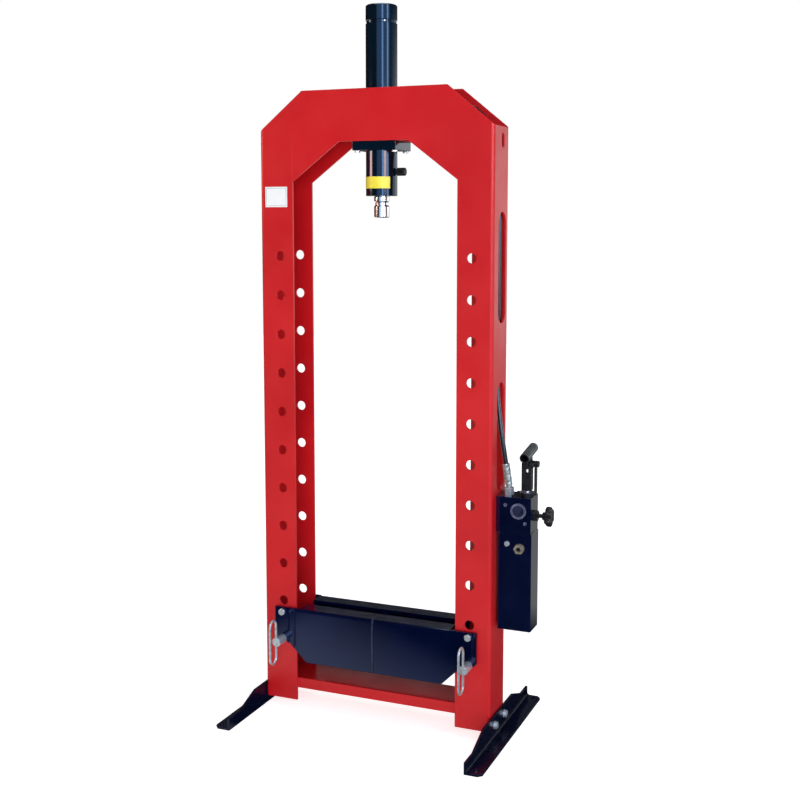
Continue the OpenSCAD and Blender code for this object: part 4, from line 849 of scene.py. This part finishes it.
def markPath():
    # up the front face, round a quarter circle, then back along the flange
    out, top, fold = centreMark["out"], centreMark["top"], centreMark["fold"]
    up = np.linspace(centreMark["low"], top - fold, centreMark["rows"][0])
    bend = np.linspace(0, np.pi / 2, centreMark["rows"][1])[1:]
    back = np.linspace(fold - out, -centreMark["inner"], centreMark["rows"][2])[1:]
    y = np.concatenate([0 * up - out, fold * (1 - np.cos(bend)) - out, back])
    z = np.concatenate([up, top - fold * (1 - np.sin(bend)), 0 * back + top])
    return np.stack([0 * y, y, z], -1)


markLine = markPath()
markRings = pointedRings(circle(1.0, centreMark["sides"]) * (centreMark["high"], centreMark["half"]),
                         len(markLine))
finishPiece("bedCentreMark", closedSurface("bedCentreMark", [
    alongPath(markLine, markRings, (1, 0, 0)) * mm], 60), "navy_paint", "bed", (), "lightNavyEnamel")
print("welds and centre mark made")

# Studio floor: pale, lit by the lamps near the press and fading to white further out. Its gloss, as
# the paint sees it, is a sheet of white paper that ends in front of the press on a slant, and a
# second one on the left.
floorLook = {"size": 9.0, "drop": 0.0003, "colour": "#f2f2f2", "near": 0.7, "far": 2.2, "base": 0.72}
paper = {"edge": (-0.36, -0.43), "across": -1.6, "forward": 2.5, "right": (0.15, 0.45),
         "left": (-0.62, -0.50), "near": (-0.30, -0.20), "behind": (0.75, 1.0), "behindLevel": 0.25,
         "secondRight": (-0.48, -0.40), "secondFront": (-0.15, -0.05)}
span = np.linspace(-floorLook["size"], floorLook["size"], 3)
floorX, floorY = np.meshgrid(span, span, indexing="ij")
floorMesh = bpy.data.meshes.new("studioFloor")
floorGrid = np.stack([floorX, floorY, 0 * floorX - floorLook["drop"]], -1)
floorMesh.from_pydata(floorGrid.reshape(-1, 3).tolist(), [],
                      [(0, 3, 4, 1), (1, 4, 5, 2), (3, 6, 7, 4), (4, 7, 8, 5)])
floor = bpy.data.objects.new("studioFloor", floorMesh)
bpy.context.scene.collection.objects.link(floor)
paleFloor, tree, shader, place = startMaterial("paleFloor", {
    "Base Color": linear(floorLook["colour"]), "Roughness": 0.9, "Emission Color": (1, 1, 1, 1)})
away = addNode(tree, "ShaderNodeVectorMath", {0: place}, operation="LENGTH")
fade = addNode(tree, "ShaderNodeMapRange", {
    "Value": away.outputs["Value"], "From Min": floorLook["near"], "From Max": floorLook["far"],
    "To Min": floorLook["base"]})
tree.links.new(fade.outputs["Result"], shader.inputs["Emission Strength"])
axes = addNode(tree, "ShaderNodeSeparateXYZ", {0: place}).outputs
# white = 1 + across * (x - edge x) + forward * (y - edge y), cut off at both sides and at the press
atOrigin = 1 - paper["across"] * paper["edge"][0] - paper["forward"] * paper["edge"][1]
acrossX = addNode(tree, "ShaderNodeMath", {0: axes["X"], 1: paper["across"], 2: atOrigin},
                  operation="MULTIPLY_ADD")
slant = addNode(tree, "ShaderNodeMath", {0: axes["Y"], 1: paper["forward"], 2: acrossX.outputs[0]},
                operation="MULTIPLY_ADD", use_clamp=True)
shares = {}
for cut, axis, atStart, atEnd in (
        ("right", "X", 1.0, 0.0), ("left", "X", 0.0, 1.0), ("near", "Y", 1.0, 0.0),
        ("behind", "Y", 0.0, paper["behindLevel"]), ("secondRight", "X", 1.0, 0.0),
        ("secondFront", "Y", 0.0, 1.0)):
    shares[cut] = addNode(tree, "ShaderNodeMapRange", {
        "Value": axes[axis], "From Min": paper[cut][0], "From Max": paper[cut][1],
        "To Min": atStart, "To Max": atEnd}).outputs["Result"]
shares["sheet"] = slant.outputs[0]
for result, one, other, operation in (
        ("sheet", "sheet", "right", "MULTIPLY"), ("sheet", "sheet", "left", "MULTIPLY"),
        ("sheet", "sheet", "near", "MULTIPLY"), ("second", "secondRight", "secondFront", "MULTIPLY"),
        ("white", "sheet", "second", "MAXIMUM"), ("white", "white", "behind", "MAXIMUM")):
    shares[result] = addNode(tree, "ShaderNodeMath", {0: shares[one], 1: shares[other]},
                             operation=operation).outputs[0]
glow = addNode(tree, "ShaderNodeEmission", {"Strength": shares["white"]})
glossy = addNode(tree, "ShaderNodeLightPath").outputs["Is Glossy Ray"]
either = addNode(tree, "ShaderNodeMixShader", {
    0: glossy, 1: shader.outputs["BSDF"], 2: glow.outputs["Emission"]})
tree.links.new(either.outputs["Shader"], tree.nodes["Material Output"].inputs["Surface"])
floorMesh.materials.append(paleFloor)

# Surroundings as the gloss sees them: a low bright wall behind to the right, a bright band behind to
# the left, a cool lit room in front to the right, dim elsewhere, and plain white to the camera
world = bpy.data.worlds.new("studio")
bpy.context.scene.world = world
world.use_nodes = True
tree = world.node_tree
tree.nodes.clear()
skyLook = {"dim": 0.05, "wall": 1.25, "band": 1.6, "bandCut": 0.06, "room": 1.5, "roomFill": 0.7,
           "roomColour": "#b9d3ff", "camera": 1.0}
# each ramp: the axis of the direction, where it starts and ends, and its level at both
skyRamps = {
    "wall": ("Z", 0.07, 0.17, skyLook["wall"], skyLook["dim"]),
    "bandFoot": ("Z", 0.362, 0.375, skyLook["dim"], skyLook["band"]),
    "bandHead": ("Z", 0.40, 0.43, 1.0, skyLook["bandCut"]),
    "bandLeft": ("X", -0.46, -0.435, skyLook["bandCut"], 1.0),
    "bandRight": ("X", -0.30, -0.27, 1.0, skyLook["bandCut"]),
    "toRight": ("X", -0.05, 0.30, 0.0, 1.0), "toBack": ("Y", -0.1, 0.5, 0.0, 1.0),
    "roomLeft": ("X", -0.26, -0.12, 0.0, 1.0), "roomBack": ("Y", -0.02, -0.20, 0.0, 1.0),
    "roomTop": ("Z", 0.80, 0.55, 0.0, 1.0),
}
way = addNode(tree, "ShaderNodeSeparateXYZ", {
    0: addNode(tree, "ShaderNodeTexCoord").outputs["Generated"]}).outputs
sky = {}
for rampName, (axis, low, high, atLow, atHigh) in skyRamps.items():
    sky[rampName] = addNode(tree, "ShaderNodeMapRange", {
        "Value": way[axis], "From Min": low, "From Max": high, "To Min": atLow,
        "To Max": atHigh}).outputs["Result"]
rays = addNode(tree, "ShaderNodeLightPath").outputs
sky["glossy"] = rays["Is Glossy Ray"]
sky["roomLevel"] = addNode(tree, "ShaderNodeMix", {
    0: sky["glossy"], 2: skyLook["roomFill"], 3: skyLook["room"]}).outputs[0]
# products, in order: the band, the room's share of the sky, its glow, and how far it is tinted
for product, one, other in (
        ("band", "bandFoot", "bandHead"), ("band", "band", "bandLeft"), ("band", "band", "bandRight"),
        ("room", "roomLeft", "roomBack"), ("room", "room", "roomTop"), ("roomGlow", "room", "roomLevel"),
        ("tint", "room", "glossy")):
    sky[product] = addNode(tree, "ShaderNodeMath", {0: sky[one], 1: sky[other]},
                           operation="MULTIPLY").outputs[0]
rear = addNode(tree, "ShaderNodeMix", {0: sky["toRight"], 2: sky["band"], 3: sky["wall"]})
around = addNode(tree, "ShaderNodeMix", {0: sky["toBack"], 2: skyLook["dim"], 3: rear.outputs[0]})
lit = addNode(tree, "ShaderNodeMath", {0: around.outputs[0], 1: sky["roomGlow"]}, operation="MAXIMUM")
hue = addNode(tree, "ShaderNodeMix", {
    0: sky["tint"], 6: (1, 1, 1, 1), 7: linear(skyLook["roomColour"])}, data_type="RGBA")
seen = rays["Is Camera Ray"]
colour = addNode(tree, "ShaderNodeMix", {0: seen, 6: hue.outputs[2], 7: (1, 1, 1, 1)},
                 data_type="RGBA")
strength = addNode(tree, "ShaderNodeMix", {0: seen, 2: lit.outputs[0], 3: skyLook["camera"]})
backdrop = addNode(tree, "ShaderNodeBackground", {
    "Color": colour.outputs[2], "Strength": strength.outputs[0]})
addNode(tree, "ShaderNodeOutputWorld", {"Surface": backdrop.outputs["Background"]})

# Each lamp: place, the point it faces, width and height in metres, power in watts, colour, and
# whether it shows in gloss and lights matt surfaces. The two gleams are low warm panels that only the
# barrel below the head and the ram reflect.
lamps = {
    "keyFront": {"spot": (1.3, -4.8, 1.7), "aim": (0, 0, 0.7), "size": (2.2, 1.8), "power": 71,
                 "colour": "#fff3e8", "inGloss": False, "onMatt": True},
    "frontStrip": {"spot": (1.75, -2.95, 1.95), "aim": (0, 0, 1.6), "size": (0.6, 2.0), "power": 25,
                   "colour": "#cbe2ff", "inGloss": True, "onMatt": True},
    "sideStrip": {"spot": (3.16, -1.25, 1.95), "aim": (0, 0, 1.6), "size": (0.6, 2.0), "power": 25,
                  "colour": "#cbe2ff", "inGloss": True, "onMatt": True},
    "overhead": {"spot": (0, 0.2, 4.4), "aim": (0, 0, 0), "size": (2.6, 2.0), "power": 60,
                 "colour": "#ffffff", "inGloss": True, "onMatt": True},
    "leftGleam": {"spot": (-1.75, -0.97, 1.565), "aim": (0, 0, 1.43), "size": (0.7, 0.29), "power": 11,
                  "colour": "#ffbfa6", "inGloss": True, "onMatt": False},
    "rightGleam": {"spot": (1.49, -1.34, 1.565), "aim": (0, 0, 1.43), "size": (0.7, 0.29), "power": 11,
                   "colour": "#ffbfa6", "inGloss": True, "onMatt": False},
}
for lampName, lamp in lamps.items():
    data = bpy.data.lights.new(lampName, "AREA")
    data.shape = "RECTANGLE"
    data.size, data.size_y = lamp["size"]
    data.energy = lamp["power"]
    data.color = linear(lamp["colour"])[:3]
    light = bpy.data.objects.new(lampName, data)
    bpy.context.scene.collection.objects.link(light)
    light.visible_camera = False
    light.visible_glossy = lamp["inGloss"]
    light.visible_diffuse = lamp["onMatt"]
    # a lamp shines down its own -Z
    light.location = lamp["spot"]
    light.rotation_euler = (Vector(lamp["aim"]) - light.location).to_track_quat("-Z", "Y").to_euler()

# The photograph's viewpoint
shot = {"spot": (1.1923, -2.7529, 1.28), "tilt": 83.8634, "turn": 22.5496, "lens": 53.8002,
        "shiftY": -0.065}
lens = bpy.data.cameras.new("shot")
lens.sensor_width = 36
lens.lens = shot["lens"]
lens.shift_y = shot["shiftY"]
camera = bpy.data.objects.new("shot", lens)
camera.location = shot["spot"]
camera.rotation_euler = (math.radians(shot["tilt"]), 0, math.radians(shot["turn"]))
bpy.context.scene.collection.objects.link(camera)
bpy.context.scene.camera = camera
bpy.context.scene.view_settings.view_transform = "Standard"
print("studio set")

bpy.context.view_layer.update()
